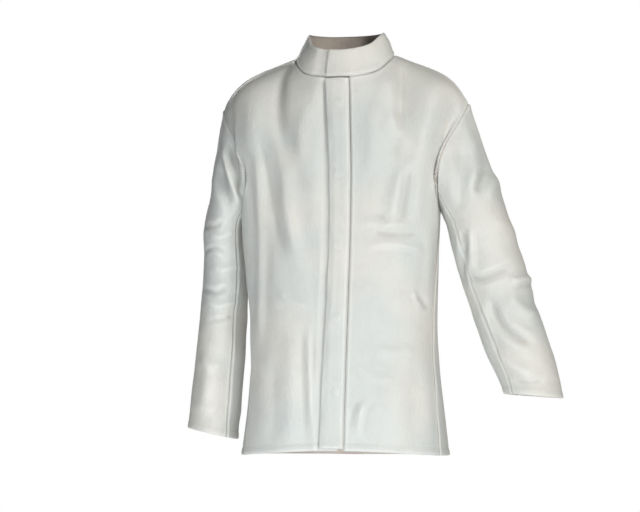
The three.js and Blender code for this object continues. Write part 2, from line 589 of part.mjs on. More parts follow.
function addSleeve(side, { points, norms, elbow }) {
  const arm = group(`${side}_sleeve`);
  const fore = group(`${side}_forearm`, arm);
  const count = points.length;
  const pick = (g, from, to, low, high) => Array.from({ length: to - from + 1 },
    (_, k) => g[(from + k + count) % count].slice(low, high + 1));
  const halves = { top_sleeve: [UNDER_TO - count, UNDER_FROM], under_sleeve: [UNDER_FROM, UNDER_TO] };
  const last = points[0].length - 1;
  for (const [name, [from, to]] of Object.entries(halves)) {
    const sheet = (low, high, edges) => solid(...trim(pick(points, from, to, low, high), pick(norms, from, to, low, high),
      { start: SEAM_TRIM, end: SEAM_TRIM, ...edges }), 0, LEATHER);
    add(arm, `${side}_upper_${name}`, sheet(0, elbow, { high: SEAM_TRIM }), leather);
    add(fore, `${side}_forearm_${name}`, sheet(elbow, last, { low: SEAM_TRIM }), leather);
  }
  const cuff = trim(...[points, norms].map((g) => g.map((c) => c.slice(-2))), { high: 1 });
  add(fore, `${side}_cuff_facing`, solid(...cuff, INNER, INNER + FACING, true), facing);
}

// ---------------------------------------------------------------- assembly
const torso = group('torso');
const sheets = { left: frontSheet('left'), right: frontSheet('right'), back: backSheet() };
const armhole = [...frontArmhole, ...columns(ARMHOLE_BACK, [90, 94, 100, 106, 112, 118, 124]).slice(1, -1)].map((c) => c.top);
const leftSleeve = sleeveSheet('left', armhole);
const rightSleeve = sleeveSheet('right', armhole.map(mirrored));
shareSeams();
addFront(torso, 'left', sheets.left);
addFront(torso, 'right', sheets.right);
addBack(torso, sheets.back);
addCollar(torso);
addHangerLoop(torso);
addLapSnaps(torso);
addFlap(group('storm_flap'));
addTab(group('collar_tab'));
addSleeve('left', leftSleeve);
addSleeve('right', rightSleeve);

export default jacket;
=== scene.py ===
"""Leather welding jacket, shown as on an unseen figure. Pattern in millimetres, scene in metres."""

import bmesh
import bpy
import json
import math
import numpy as np
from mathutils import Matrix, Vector, noise

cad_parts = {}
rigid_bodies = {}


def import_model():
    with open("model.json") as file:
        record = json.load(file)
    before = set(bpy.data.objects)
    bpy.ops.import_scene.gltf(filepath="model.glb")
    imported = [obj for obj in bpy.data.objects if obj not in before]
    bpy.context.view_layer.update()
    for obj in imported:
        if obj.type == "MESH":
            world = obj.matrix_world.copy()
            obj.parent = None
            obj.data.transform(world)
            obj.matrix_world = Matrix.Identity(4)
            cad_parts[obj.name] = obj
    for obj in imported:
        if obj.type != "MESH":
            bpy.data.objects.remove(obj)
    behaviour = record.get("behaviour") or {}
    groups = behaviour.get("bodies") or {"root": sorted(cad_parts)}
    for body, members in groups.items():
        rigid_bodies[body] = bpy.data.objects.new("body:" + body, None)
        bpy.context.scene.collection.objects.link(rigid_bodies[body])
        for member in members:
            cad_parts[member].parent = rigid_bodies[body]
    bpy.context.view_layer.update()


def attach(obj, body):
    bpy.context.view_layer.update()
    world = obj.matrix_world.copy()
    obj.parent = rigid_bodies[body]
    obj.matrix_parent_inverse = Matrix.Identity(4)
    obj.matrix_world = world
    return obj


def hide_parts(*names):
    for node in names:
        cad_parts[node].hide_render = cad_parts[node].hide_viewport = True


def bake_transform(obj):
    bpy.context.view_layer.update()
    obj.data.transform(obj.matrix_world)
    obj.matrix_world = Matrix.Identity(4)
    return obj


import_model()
MM = 0.001

# ---------------------------------------------------------------- camera, light and floor
VIEW_AZIMUTH, VIEW_ELEVATION, VIEW_DISTANCE = 8.0, -5.0, 3.2
VIEW_TARGET = Vector((-0.0495, -0.007, -0.402))
LENS, SENSOR = 90.0, 36.0


def aim(obj, place, target):
    obj.location = place
    obj.rotation_euler = (Vector(target) - Vector(place)).to_track_quat("-Z", "Y").to_euler()


def add_camera():
    data = bpy.data.cameras.new("studio_camera")
    data.lens, data.sensor_width, data.sensor_fit = LENS, SENSOR, "HORIZONTAL"
    camera = bpy.data.objects.new("studio_camera", data)
    bpy.context.scene.collection.objects.link(camera)
    azimuth, elevation = math.radians(VIEW_AZIMUTH), math.radians(VIEW_ELEVATION)
    level = math.cos(elevation)
    back = Vector((math.sin(azimuth) * level, -math.cos(azimuth) * level, math.sin(elevation)))
    aim(camera, VIEW_TARGET + back * VIEW_DISTANCE, VIEW_TARGET)
    bpy.context.scene.camera = camera


def add_light(name, place, target, size, power, colour):
    data = bpy.data.lights.new(name, "AREA")
    data.shape, data.size, data.energy, data.color = "DISK", size, power, colour
    light = bpy.data.objects.new(name, data)
    bpy.context.scene.collection.objects.link(light)
    aim(light, place, target)


# ---------------------------------------------------------------- finishes
class Wire:
    """A shader socket that takes part in sums."""

    def __init__(self, finish, socket):
        self.finish, self.socket = finish, socket

    def sum(self, operation, *terms):
        return self.finish.node("ShaderNodeMath", {"operation": operation}, terms)

    def __add__(self, other):
        return self.sum("ADD", self, other)

    def __sub__(self, other):
        return self.sum("SUBTRACT", self, other)

    def __rsub__(self, other):
        return self.sum("SUBTRACT", other, self)

    def __mul__(self, other):
        return self.sum("MULTIPLY", self, other)

    def __pow__(self, other):
        return self.sum("POWER", self, other)

    def __abs__(self):
        return self.sum("ABSOLUTE", self)

    __radd__, __rmul__ = __add__, __mul__

    def ramp(self, low, high, to_low=0.0, to_high=1.0):
        return self.finish.node("ShaderNodeMapRange", {"interpolation_type": "SMOOTHSTEP"},
            (self, low, high, to_low, to_high))


class Finish:
    """A material whose nodes come from one method."""

    def __init__(self, name, **fixed):
        self.material = bpy.data.materials.new(name)
        self.material.use_nodes = True
        self.tree = self.material.node_tree
        self.shader = self.tree.nodes["Principled BSDF"]
        for socket, value in fixed.items():
            self.shader.inputs[socket.replace("_", " ")].default_value = value
        self.place = self.node("ShaderNodeTexCoord", {}, (), "Object")

    def node(self, kind, settings=None, sockets=(), out=0):
        made = self.tree.nodes.new(kind)
        for name, value in (settings or {}).items():
            setattr(made, name, value)
        for key, value in sockets.items() if isinstance(sockets, dict) else enumerate(sockets):
            self.put(made.inputs[key], value)
        return Wire(self, made.outputs[out])

    def put(self, socket, value):
        if isinstance(value, Wire):
            self.tree.links.new(value.socket, socket)
        else:
            socket.default_value = value

    def set(self, **sockets):
        for name, value in sockets.items():
            self.put(self.shader.inputs[name.replace("_", " ")], value)

    def mix(self, amount, first, second):
        return self.node("ShaderNodeMix", {"data_type": "RGBA"}, {0: amount, 6: first, 7: second}, 2)

    def cloud(self, scale, detail=3.0, stretch=(1, 1, 1), rough=0.5):
        where = self.node("ShaderNodeMapping", {}, {"Vector": self.place, "Scale": stretch})
        return self.node("ShaderNodeTexNoise", {},
            {"Vector": where, "Scale": scale, "Detail": detail, "Roughness": rough})

    def cells(self, scale, feature="F1"):
        return self.node("ShaderNodeTexVoronoi", {"feature": feature},
            {"Vector": self.place, "Scale": scale}, "Distance")

    def bump(self, height, depth, under=None):
        sockets = {"Height": height, "Distance": depth, "Strength": 1.0}
        if under is not None:
            sockets["Normal"] = under
        return self.node("ShaderNodeBump", {}, sockets)

    def attribute(self, name):
        return self.node("ShaderNodeAttribute", {"attribute_name": name}, (), "Fac")


def grain_leather():
    """Off-white smooth cowhide with fine grain, pulled creases, painted shade in the folds, and lighter
    ridges that are partly wear and partly painted highlight.
    """
    f = Finish("grain_leather", Coat_Roughness=0.42, Specular_IOR_Level=0.42, Sheen_Weight=0.05)
    hollow = f.attribute("hollow")
    wear_and_painted_light = f.attribute("wear_and_painted_light")
    broad = f.cloud(5.0, 3)
    patch = f.cloud(26.0, 4, rough=0.6)
    speck = f.cloud(420.0, 2)
    pull = f.cloud(95.0, 4, (1, 1, 0.45), 0.6)
    grain = f.cells(820.0)
    pores = f.cells(1500.0)
    colour = f.mix(broad.ramp(0.36, 0.64), LEATHER_COOL, LEATHER_WARM)
    colour = f.mix(patch.ramp(0.45, 0.75) * 0.35, colour, LEATHER_DULL)
    # Painted shade: the hollows of the folds are darkened in the colour
    colour = f.mix(hollow.ramp(0.05, 1.0) * 0.4, colour, LEATHER_SHADED)
    # Raised ridges lightened in the colour: partly rubbed wear, partly painted highlight; the same mask also
    # lowers roughness and adds coat as wear
    colour = f.mix(wear_and_painted_light.ramp(0.1, 1.0) * 0.4, colour, LEATHER_RUBBED_AND_LIT)
    colour = f.mix(speck.ramp(0.60, 0.78) * 0.22, colour, LEATHER_SHADED)
    f.set(Base_Color=colour, Roughness=patch.ramp(0.3, 0.7, 0.52, 0.64) + hollow * 0.08 - wear_and_painted_light * 0.06,
        Coat_Weight=wear_and_painted_light.ramp(0.0, 1.0, 0.05, 0.14))
    creases = abs(pull - 0.5).ramp(0.0, 0.09)
    surface = f.bump(creases, 0.00022)
    surface = f.bump(patch, 0.0007, surface)
    surface = f.bump(grain.ramp(0.05, 0.55) * 0.7 + pores.ramp(0.0, 0.3) * 0.3, 0.00011, surface)
    f.set(Normal=surface)
    return f.material


def lining_suede():
    """Flesh side and facings: soft nap, slightly pink."""
    f = Finish("lining_suede", Sheen_Weight=0.35, Sheen_Roughness=0.5, Specular_IOR_Level=0.2)
    nap = f.cloud(300.0, 5, rough=0.7)
    sweep = f.cloud(14.0, 3)
    colour = f.mix(sweep.ramp(0.35, 0.65), (0.47, 0.41, 0.36, 1), (0.56, 0.50, 0.45, 1))
    colour = f.mix(nap.ramp(0.4, 0.75) * 0.5, colour, (0.36, 0.31, 0.27, 1))
    f.set(Base_Color=colour, Roughness=nap.ramp(0.3, 0.7, 0.8, 0.95), Normal=f.bump(nap, 0.0005))
    return f.material


def thread_finish():
    f = Finish("bonded_thread", Specular_IOR_Level=0.35)
    twist = f.cloud(2400.0, 2, (1, 1, 3))
    f.set(Base_Color=f.mix(twist, (0.50, 0.48, 0.43, 1), (0.66, 0.64, 0.59, 1)),
        Roughness=twist.ramp(0.3, 0.7, 0.5, 0.7), Normal=f.bump(twist, 0.0002))
    return f.material


def snap_metal():
    f = Finish("snap_metal")
    scuff = f.cloud(700.0, 4, (1, 1, 6), 0.65)
    tarnish = f.cloud(160.0, 3)
    f.set(Base_Color=f.mix(tarnish.ramp(0.4, 0.7), (0.72, 0.71, 0.69, 1), (0.50, 0.48, 0.45, 1)),
        Metallic=tarnish.ramp(0.45, 0.8, 1.0, 0.9),
          Roughness=scuff.ramp(0.3, 0.7, 0.2, 0.42), Normal=f.bump(scuff, 0.00005))
    return f.material


def floor_finish():
    f = Finish("pale_floor")
    f.set(Base_Color=f.mix(f.cloud(3.0), (0.36, 0.36, 0.36, 1), (0.40, 0.40, 0.40, 1)),
        Roughness=f.cloud(9.0).ramp(0.3, 0.7, 0.75, 0.85))
    f.set(Emission_Color=(0.95, 0.98, 1, 1), Emission_Strength=0.5)
    return f.material


LEATHER_COOL = (0.50, 0.515, 0.495, 1)
LEATHER_WARM = (0.565, 0.548, 0.505, 1)
LEATHER_DULL = (0.46, 0.45, 0.425, 1)
# The shaded colour is painted shade in the fold hollows and also colours the dark specks; the rubbed colour
# lightens the ridges, partly as wear and partly as painted highlight
LEATHER_SHADED = (0.34, 0.325, 0.30, 1)
LEATHER_RUBBED_AND_LIT = (0.64, 0.635, 0.61, 1)
FINISHES = {"leather": grain_leather(), "suede": lining_suede(), "thread": thread_finish(),
    "metal": snap_metal(), "floor": floor_finish()}

# ---------------------------------------------------------------- pattern sizes
# The shown leather is a little thinner than the pattern leather that the hanger loop is placed by
LEATHER, PATTERN_LEATHER, FACING, GAP = 2.0, 2.2, 1.4, 0.3
INNER = LEATHER + GAP
NECK_HALF_WIDTH, NECK_HALF_DEPTH, NECK_CENTRE_Y = 101, 79, -17
FRONT_Y, FRONT_NECK_Z, FRONT_SLOPE, FLAT_HALF = -96, -57, 0.0616, 28
HEM_HEIGHT = [[0, -785], [90, -795], [180, -800]]
CHEST_Z = -330
FRONT_SQUARENESS, BACK_SQUARENESS = 2.6, 2.3
# height, half width, back depth, depth of the widest point, angle of the side seam
SECTIONS = [
    [-800, 206, 133, 15, 62], [-680, 192, 123, 10, 68], [-560, 183, 115, 8, 75],
    [-430, 186, 114, 7, 83], [CHEST_Z, 190, 112, 6, 90]]
NECK_HEIGHT = [[-30, -51], [0, -57], [24, -53.5], [48, -41], [70, -18], [90, -3], [102.4, 4], [140, 8],
    [180, 9], [220, 8]]
COLLAR_HEIGHT = [[-30, 2], [0, -2], [24, 2], [48, 13], [70, 34], [90, 46], [102.4, 49], [140, 54],
    [180, 56], [220, 54]]
COLLAR_TOP_HALF_WIDTH, COLLAR_TOP_HALF_DEPTH, COLLAR_TOP_CENTRE_Y, COLLAR_DIP = 79, 74, -16, 4.5
FLAP_SEAM_X, FLAP_WIDTH, FLAP_TOP_DROP, FLAP_LENGTH, FLAP_OUT, TAB_WIDTH = 22.1, 43.5, 3, 722, 1.2, 47
UNDERLAP_X, UNDERLAP_DIP = 10, 3
SNAP_FIRST, SNAP_PITCH, SNAP_COUNT = 54, 141, 5
SNAPS = [SNAP_FIRST + SNAP_PITCH * i for i in range(SNAP_COUNT)]
SHOULDER_TIP, UNDERARM = [250, 8, -98], [190, 6, -312]
SHOULDER = [[140, 2, -13, -0.35, 0.88, 0.33], [180, 4, -28, -0.12, 0.94, 0.26],
    [212, 6, -46, 0.14, 0.95, 0.12], [238, 7, -78, 0.42, 0.88, -0.05]]
ARMHOLE_FRONT = [
    [*SHOULDER_TIP, 0.62, 0.72, -0.2], [237, -25, -130, 0.84, 0.5, -0.05],
    [217, -45, -165, 0.82, 0.38, 0.4], [197, -61, -208, 0.78, 0.44, 0.4],
    [188, -50, -262, 0.5, 0.45, 0.74], [189, -22, -298, 0.15, 0.2, 0.97], [*UNDERARM, 0, 0, 1]]
ARMHOLE_BACK = [
    [*UNDERARM, 0, 0, 1], [192, 32, -300, 0.15, -0.2, 0.97], [199, 56, -268, 0.5, -0.45, 0.74],
    [212, 74, -215, 0.75, -0.4, 0.45],
    [226, 66, -166, 0.75, -0.45, 0.35], [240, 42, -126, 0.8, -0.55, 0], [*SHOULDER_TIP, 0.62, -0.72, -0.2]]
NECK_FRONT_ANGLES, NECK_BACK_ANGLES, NECK_SIDE_ANGLE = [24, 36, 48, 62, 76, 90], [117, 133, 149, 165], 102.4
NECK_FRONT_WAYS = [[-0.05, 0.15, 0.98], [-0.15, 0.3, 0.94], [-0.3, 0.4, 0.87], [-0.45, 0.5, 0.74],
    [-0.6, 0.5, 0.62], [-0.75, 0.45, 0.5]]
NECK_SIDE_WAY = np.array([-0.5, 0.8, 0.35])
NECK_BACK_WAYS = [[-0.65, -0.5, 0.6], [-0.45, -0.6, 0.65], [-0.3, -0.6, 0.7], [-0.1, -0.5, 0.85]]
NECK_FRONT_CHEST_X, NECK_SIDE_CHEST_X = [38, 55, 71, 85, 97, 108], 118
SHOULDER_CHEST_X = [129, 140, 150, 159]
ARMHOLE_CHEST_X = [166, 171, 176, 182, 187]
ARMHOLE_BACK_PLACES, SHOULDER_BACK_PLACES = [90, 94, 100, 106, 112, 118, 124], [147, 141, 135, 129]
NECK_SIDE_BACK_PLACE, NECK_BACK_PLACES = 152, [156.5, 162, 168, 174]
# centre, direction down the arm, half width across, half depth
SLEEVE_RINGS = {
    "left": [
        [[262, 10, -324], [0.3, 0.02, -0.954], 62, 70],
        [[281, 12, -393], [0.29, 0, -0.957], 63, 67],
        [[299, 14, -458], [0.28, -0.02, -0.96], 67, 64],
        [[320, 6, -522], [0.29, -0.2, -0.93], 63, 60],
        [[347, -10, -598], [0.29, -0.2, -0.93], 60, 56],
        [[371, -26, -681], [-0.07, -0.02, -0.997], 57, 52]],
    "right": [
        [[-243, 18, -332], [-0.07, 0.1, -0.99], 44, 76],
        [[-246, 24, -395], [-0.07, 0.08, -0.99], 44, 73],
        [[-249, 28, -456], [-0.07, 0, -0.99], 46, 69],
        [[-254, 22, -540], [-0.07, -0.12, -0.99], 48, 63],
        [[-260, 12, -645], [-0.07, -0.12, -0.99], 50, 58],
        [[-267, 2, -755], [-0.22, -0.02, -0.975], 52, 54]],
}
UNDER_FROM, UNDER_TO, RING_POINTS = 9, 16, 24


# ---------------------------------------------------------------- numbers
def unit(v):
    v = np.asarray(v, float)
    return v / np.linalg.norm(v, axis=-1, keepdims=True)


def step(x, low, high):
    t = np.clip((np.asarray(x, float) - low) / (high - low), 0, 1)
    return t * t * (3 - 2 * t)


def table(rows, x, k=1):
    """Smooth value of column k of rows at x."""
    rows = np.array(rows, float)
    x = np.asarray(x, float)
    at, value = rows[:, 0], rows[:, k]
    slope = np.empty(len(at))
    slope[1:-1] = (value[2:] - value[:-2]) / (at[2:] - at[:-2])
    slope[0] = (value[1] - value[0]) / (at[1] - at[0])
    slope[-1] = (value[-1] - value[-2]) / (at[-1] - at[-2])
    i = np.clip(np.searchsorted(at, x, side="right") - 1, 0, len(at) - 2)
    w = at[i + 1] - at[i]
    t = np.clip((x - at[i]) / w, 0, 1)
    return (value[i] * (2 * t**3 - 3 * t**2 + 1) + slope[i] * w * (t**3 - 2 * t**2 + t)
            + value[i + 1] * (3 * t**2 - 2 * t**3) + slope[i + 1] * w * (t**3 - t**2))


def spline(knots, values, places):
    """Natural cubic curve through values (first axis) at knots, read at places."""
    knots, values, places = np.asarray(knots, float), np.asarray(values, float), np.asarray(places, float)
    n, gap = len(knots), np.diff(knots)
    left, right = np.eye(n), np.zeros(values.shape)
    for i in range(1, n - 1):
        left[i, i - 1], left[i, i], left[i, i + 1] = gap[i - 1], 2 * (gap[i - 1] + gap[i]), gap[i]
        right[i] = 6 * ((values[i + 1] - values[i]) / gap[i] - (values[i] - values[i - 1]) / gap[i - 1])
    bend = np.linalg.solve(left, right.reshape(n, -1)).reshape(values.shape)
    k = np.clip(np.searchsorted(knots, places, side="right") - 1, 0, n - 2)
    shape = (-1,) + (1,) * (values.ndim - 1)
    h = gap[k].reshape(shape)
    a = ((knots[k + 1] - places) / gap[k]).reshape(shape)
    b = 1 - a
    return a * values[k] + b * values[k + 1] + ((a**3 - a) * bend[k] + (b**3 - b) * bend[k + 1]) * h * h / 6


def run_of(points):
    """Distance along a list of points."""
    return np.concatenate([[0], np.cumsum(np.linalg.norm(np.diff(points, axis=0), axis=-1))])


EDGE_STEPS = np.array([0, 0.7, 1.6, 2.8, 4.4, 6.5, 9.5])


def spread(start, end, pitch, low=True, high=True):
    """Places from start to end, closer together at sewn edges."""
    first = start + EDGE_STEPS if low else np.array([start])
    last = end - EDGE_STEPS[::-1] if high else np.array([end])
    count = max(2, round((last[0] - first[-1]) / pitch))
    return np.concatenate([first, np.linspace(first[-1], last[0], count + 1)[1:-1], last])


# ---------------------------------------------------------------- folds
def trail(line, parts=5):
    line = np.array(line, float)
    if len(line) <= 2:
        return line
    knots = run_of(line)
    return spline(knots, line, np.linspace(0, knots[-1], parts * (len(line) - 1) + 1))


def fold_heights(points, folds):
    """Height of all folds [line, width, height] over points seen as (x, z)."""
    flat = points[..., [0, 2]]
    total = np.zeros(flat.shape[:-1])
    for line, width, height in folds:
        path = trail(line)
        runs = run_of(path)
        span = runs[-1]
        best, where = np.full(total.shape, 1e9), np.zeros(total.shape)
        for a, b, r in zip(path[:-1], path[1:], runs):
            s = b - a
            length = math.hypot(*s)
            t = np.clip(((flat - a) @ s) / length**2, 0, 1)
            d = np.linalg.norm(flat - a - t[..., None] * s, axis=-1)
            closer = d < best
            best[closer], where[closer] = d[closer], ((r + t * length) / span)[closer]
        fade = step(where, 0, 0.3) * step(1 - where, 0, 0.3)
        total += height * fade * (np.exp(-((best / width) ** 2))
            - 0.3 * np.exp(-(((best - 1.9 * width) / width) ** 2)))
    return total


def rumple(points, scale, seed, ridged=False):
    """Smooth random height, scale being the wave length in each direction."""
    flat = (points / np.array(scale, float)).reshape(-1, 3) + seed
    values = (noise.noise(Vector(p)) for p in flat.tolist())
    value = np.fromiter(values, float, len(flat)).reshape(points.shape[:-1])
    return 0.45 - np.sqrt(value * value * 9 + 0.02) if ridged else value * 2


# ---------------------------------------------------------------- sheets
class Sheet:
    """A grid of outer surface points, with its outward directions."""

    def __init__(self, points, inside=None, loop=False, ways=None, depth_ways=None):
        self.points, self.loop = points, loop
        self.ways = self.directions(inside) if ways is None else ways
        self.depth_ways = self.ways if depth_ways is None else depth_ways

    def directions(self, inside):
        p = self.points
        across = np.roll(p, -1, 0) - np.roll(p, 1, 0) if self.loop else np.gradient(p, axis=0)
        n = unit(np.cross(across, np.gradient(p, axis=1)))
        if inside is not None and np.sum(np.sign(np.sum(n * (p - inside(p)), -1))) < 0:
            n = -n
        elif inside is None and np.sum(n * self.ways) < 0:
            n = -n
        return n

    def push(self, height):
        """Moves the surface out by height, and turns its directions to suit."""
        self.depth_ways = self.ways
        self.points = self.points + self.ways * height[..., None]
        self.ways = self.directions(None)

    def edge_distances(self):
        p = self.points
        u = np.concatenate([np.zeros((1, p.shape[1])),
            np.cumsum(np.linalg.norm(np.diff(p, axis=0), axis=-1), 0)])
        v = np.concatenate([np.zeros((p.shape[0], 1)),
            np.cumsum(np.linalg.norm(np.diff(p, axis=1), axis=-1), 1)], 1)
        return {"start": u, "end": u[-1:] - u, "low": v, "high": v[:, -1:] - v}

    def part(self, i0=0, i1=None, j0=0, j1=None):
        i1 = len(self.points) - 1 if i1 is None else i1
        j1 = self.points.shape[1] - 1 if j1 is None else j1
        return self.pick(slice(i0, i1 + 1), slice(j0, j1 + 1))

    def pick(self, across, up=slice(None)):
        ways, depth_ways = self.ways[across][:, up], self.depth_ways[across][:, up]
        return Sheet(self.points[across][:, up], ways=ways, depth_ways=depth_ways)

    def flat(self):
        """Width, length and area of the flat cut, in metres."""
        d = self.edge_distances()
        p = self.points
        area = np.sum(np.linalg.norm(np.cross(p[1:, :-1] - p[:-1, :-1], p[:-1, 1:] - p[:-1, :-1]), axis=-1))
        return float(d["start"][-1].max() * MM), float(d["low"][:, -1].max() * MM), float(area * MM * MM)


def new_object(name, points, faces, finishes, finish_of=None):
    mesh = bpy.data.meshes.new(name)
    mesh.from_pydata((np.asarray(points) * MM).tolist(), [], faces)
    for finish in finishes:
        mesh.materials.append(FINISHES[finish])
    mesh.polygons.foreach_set("use_smooth", np.ones(len(faces), bool))
    if finish_of is not None:
        mesh.polygons.foreach_set("material_index", finish_of)
    obj = bpy.data.objects.new(name, mesh)
    bpy.context.scene.collection.objects.link(obj)
    return obj


def build(name, sheet, top=0.0, thick=LEATHER, finishes=("leather", "suede"), close=False):
    """Closed leather between two depths under the sheet: grain outside, flesh inside and on the cut edges."""
    m, k = sheet.points.shape[:2]
    outer = sheet.points - sheet.depth_ways * top
    inner = sheet.points - sheet.depth_ways * (top + thick)
    ids = np.arange(m * k).reshape(m, k)
    if close:
        ids = np.vstack([ids, ids[:1]])
    a, b, c, d = ids[:-1, :-1], ids[1:, :-1], ids[1:, 1:], ids[:-1, 1:]
    face = np.stack([a, b, c, d], -1).reshape(-1, 4)
    p = outer.reshape(-1, 3)
    middle = len(face) // 2
    lean = np.cross(p[face[middle][1]] - p[face[middle][0]], p[face[middle][3]] - p[face[middle][0]])
    if np.dot(lean, sheet.ways.reshape(-1, 3)[face[middle][0]]) < 0:
        face = face[:, ::-1]
    rim = []
    if not close:
        rim += [ids[0], ids[-1]]
    rim += [ids[:, 0], ids[:, -1]]
    n = m * k
    walls = np.concatenate([np.stack([line[:-1], line[1:], line[1:] + n, line[:-1] + n], -1)
        for line in rim])
    both = np.vstack([p, inner.reshape(-1, 3)])
    ways = np.vstack([sheet.ways.reshape(-1, 3), -sheet.ways.reshape(-1, 3)])
    faces = np.concatenate([face, face[:, ::-1] + n, walls])
    kind = np.concatenate([np.zeros(len(face), int), np.ones(len(face) + len(walls), int)])
    obj = new_object(name, both, faces.tolist(), finishes, kind if len(finishes) > 1 else None)
    fix_walls(obj)
    corner = np.empty(len(obj.data.loops), int)
    obj.data.loops.foreach_get("vertex_index", corner)
    flat = np.empty(len(obj.data.polygons) * 3)
    obj.data.polygons.foreach_get("normal", flat)
    flat = np.repeat(flat.reshape(-1, 3), 4, axis=0)
    whole = ways[corner]
    whole[len(face) * 8:] = flat[len(face) * 8:]
    obj.data.normals_split_custom_set(whole.tolist())
    # Hollow and raised marks for the leather finish: painted shade in the folds, wear and painted highlight
    # on the ridges
    bend = shade_marks(sheet)
    for label, values in zip(("hollow", "wear_and_painted_light"), bend):
        mark = obj.data.attributes.new(label, "FLOAT", "POINT")
        mark.data.foreach_set("value", np.concatenate([values.ravel(), values.ravel()]).astype(np.float32))
    return obj


def fix_walls(obj):
    """Turns every face of a closed sheet to face out."""
    b = bmesh.new()
    b.from_mesh(obj.data)
    bmesh.ops.recalc_face_normals(b, faces=b.faces)
    if b.calc_volume(signed=True) < 0:
        bmesh.ops.reverse_faces(b, faces=b.faces)
    b.to_mesh(obj.data)
    b.free()


def shade_marks(sheet):
    """How hollow and how raised the surface is, from 0 to 1, for painted shade in the hollows and for wear
    and painted highlight on the ridges.
    """
    p, n = sheet.points, sheet.ways
    total = np.zeros(p.shape[:2])
    for axis in (0, 1):
        before, after = np.roll(p, 1, axis), np.roll(p, -1, axis)
        middle = (before + after) / 2 - p
        span = np.linalg.norm(after - before, axis=-1) + 1e-6
        curve = np.sum(middle * n, -1) / (span * span) * 8
        if axis == 0:
            curve[0] = curve[-1] = 0
        else:
            curve[:, 0] = curve[:, -1] = 0
        total += np.clip(curve, -0.25, 0.25)
    for _ in range(2):
        total[1:-1, 1:-1] = (total[1:-1, 1:-1] * 2 + total[:-2, 1:-1] + total[2:, 1:-1] + total[1:-1, :-2]
            + total[1:-1, 2:]) / 6
    return np.clip(total * 14, 0, 1), np.clip(-total * 14 - 0.25, 0, 1)


def edge_shape(sheet, sewn=(), free=(), fade=()):
    """Height of seams and free edges, and the share of folds that is left near fixed seams."""
    d = sheet.edge_distances()
    height = np.zeros(sheet.points.shape[:2])
    for edge in sewn:
        height += -1.7 * np.exp(-((d[edge] / 2.2) ** 2)) + 0.7 * np.exp(-(((d[edge] - 5.5) / 3.5) ** 2))
    for edge in free:
        height += -0.9 * np.exp(-((d[edge] / 1.3) ** 2)) + 0.25 * np.exp(-(((d[edge] - 5) / 4.5) ** 2))
    share = np.ones_like(height)
    for edge in fade:
        share *= step(d[edge], 1, 30)
    return height, share


STITCH_PITCH, STITCH_LENGTH, STITCH_RADIUS = 4.3, 3.3, 0.42
HEM_STITCH, EDGE_STITCH, SEAM_STITCH = 13, 5, 4.5
TURN_DEPTH = 24
FACING_WIDTH = {"left": 40, "right": 68}


def stitch_shape():
    sides, rings = 5, [(-0.5, 0.35), (-0.3, 0.95), (0.3, 0.95), (0.5, 0.35)]
    points = [(STITCH_LENGTH * t, STITCH_RADIUS * r * math.cos(2 * math.pi * s / sides),
        STITCH_RADIUS * r * math.sin(2 * math.pi * s / sides))
              for t, r in rings for s in range(sides)]
    faces = [[i * sides + s, i * sides + (s + 1) % sides, (i + 1) * sides + (s + 1) % sides,
        (i + 1) * sides + s]
             for i in range(len(rings) - 1) for s in range(sides)]
    faces = [f[::-1] for f in faces]
    faces.append(list(range(sides)))
    faces.append([(len(rings) - 1) * sides + s for s in reversed(range(sides))])
    return np.array(points), faces


STITCH_POINTS, STITCH_FACES = stitch_shape()


def sew(name, lines):
    """One run of stitches over each (points, ways) line."""
    points, faces = [], []
    for line, ways in lines:
        runs = run_of(line)
        count = max(1, int(runs[-1] / STITCH_PITCH))
        places = (np.arange(count) + 0.5) * runs[-1] / count
        centre = np.stack([np.interp(places, runs, line[:, i]) for i in range(3)], -1)
        ahead = np.stack([np.interp(places + 1, runs, line[:, i]) for i in range(3)], -1)
        behind = np.stack([np.interp(places - 1, runs, line[:, i]) for i in range(3)], -1)
        way = unit(np.stack([np.interp(places, runs, ways[:, i]) for i in range(3)], -1))
        along = unit(ahead - behind)
        side = unit(np.cross(way, along))
        for c, t, s, w in zip(centre, along, side, way):
            faces += [[len(points) * len(STITCH_POINTS) + i for i in f] for f in STITCH_FACES]
            points.append(c + w * 0.12 + STITCH_POINTS @ np.array([t, s, w]))
    return new_object(name, np.concatenate(points), faces, ("thread",))


def line_in(sheet, edge, depth, trim=6.0):
    """Points and ways on the sheet at a distance in from one edge."""
    d = sheet.edge_distances()[edge]
    grid, ways = sheet.points, sheet.ways
    if edge in ("start", "end"):
        d, grid, ways = d.T, grid.transpose(1, 0, 2), ways.transpose(1, 0, 2)
    out, normal = [], []
    for run, row, way in zip(d, grid, ways):
        if edge in ("end", "high"):
            run, row, way = run[::-1], row[::-1], way[::-1]
        out.append([np.interp(depth, run, row[:, i]) for i in range(3)])
        normal.append([np.interp(depth, run, way[:, i]) for i in range(3)])
    out, normal = np.array(out), unit(normal)
    runs = run_of(out)
    keep = (runs >= trim) & (runs <= runs[-1] - trim)
    return out[keep], normal[keep]


# ---------------------------------------------------------------- torso surface
def front_y(z):
    return FRONT_Y - FRONT_SLOPE * (FRONT_NECK_Z - z)


def neck(angle):
    a = (np.asarray(angle, float) + 180) % 360 - 180
    return np.stack([NECK_HALF_WIDTH * np.sin(np.radians(a)),
        NECK_CENTRE_Y - NECK_HALF_DEPTH * np.cos(np.radians(a)), table(NECK_HEIGHT, np.abs(a))], -1)


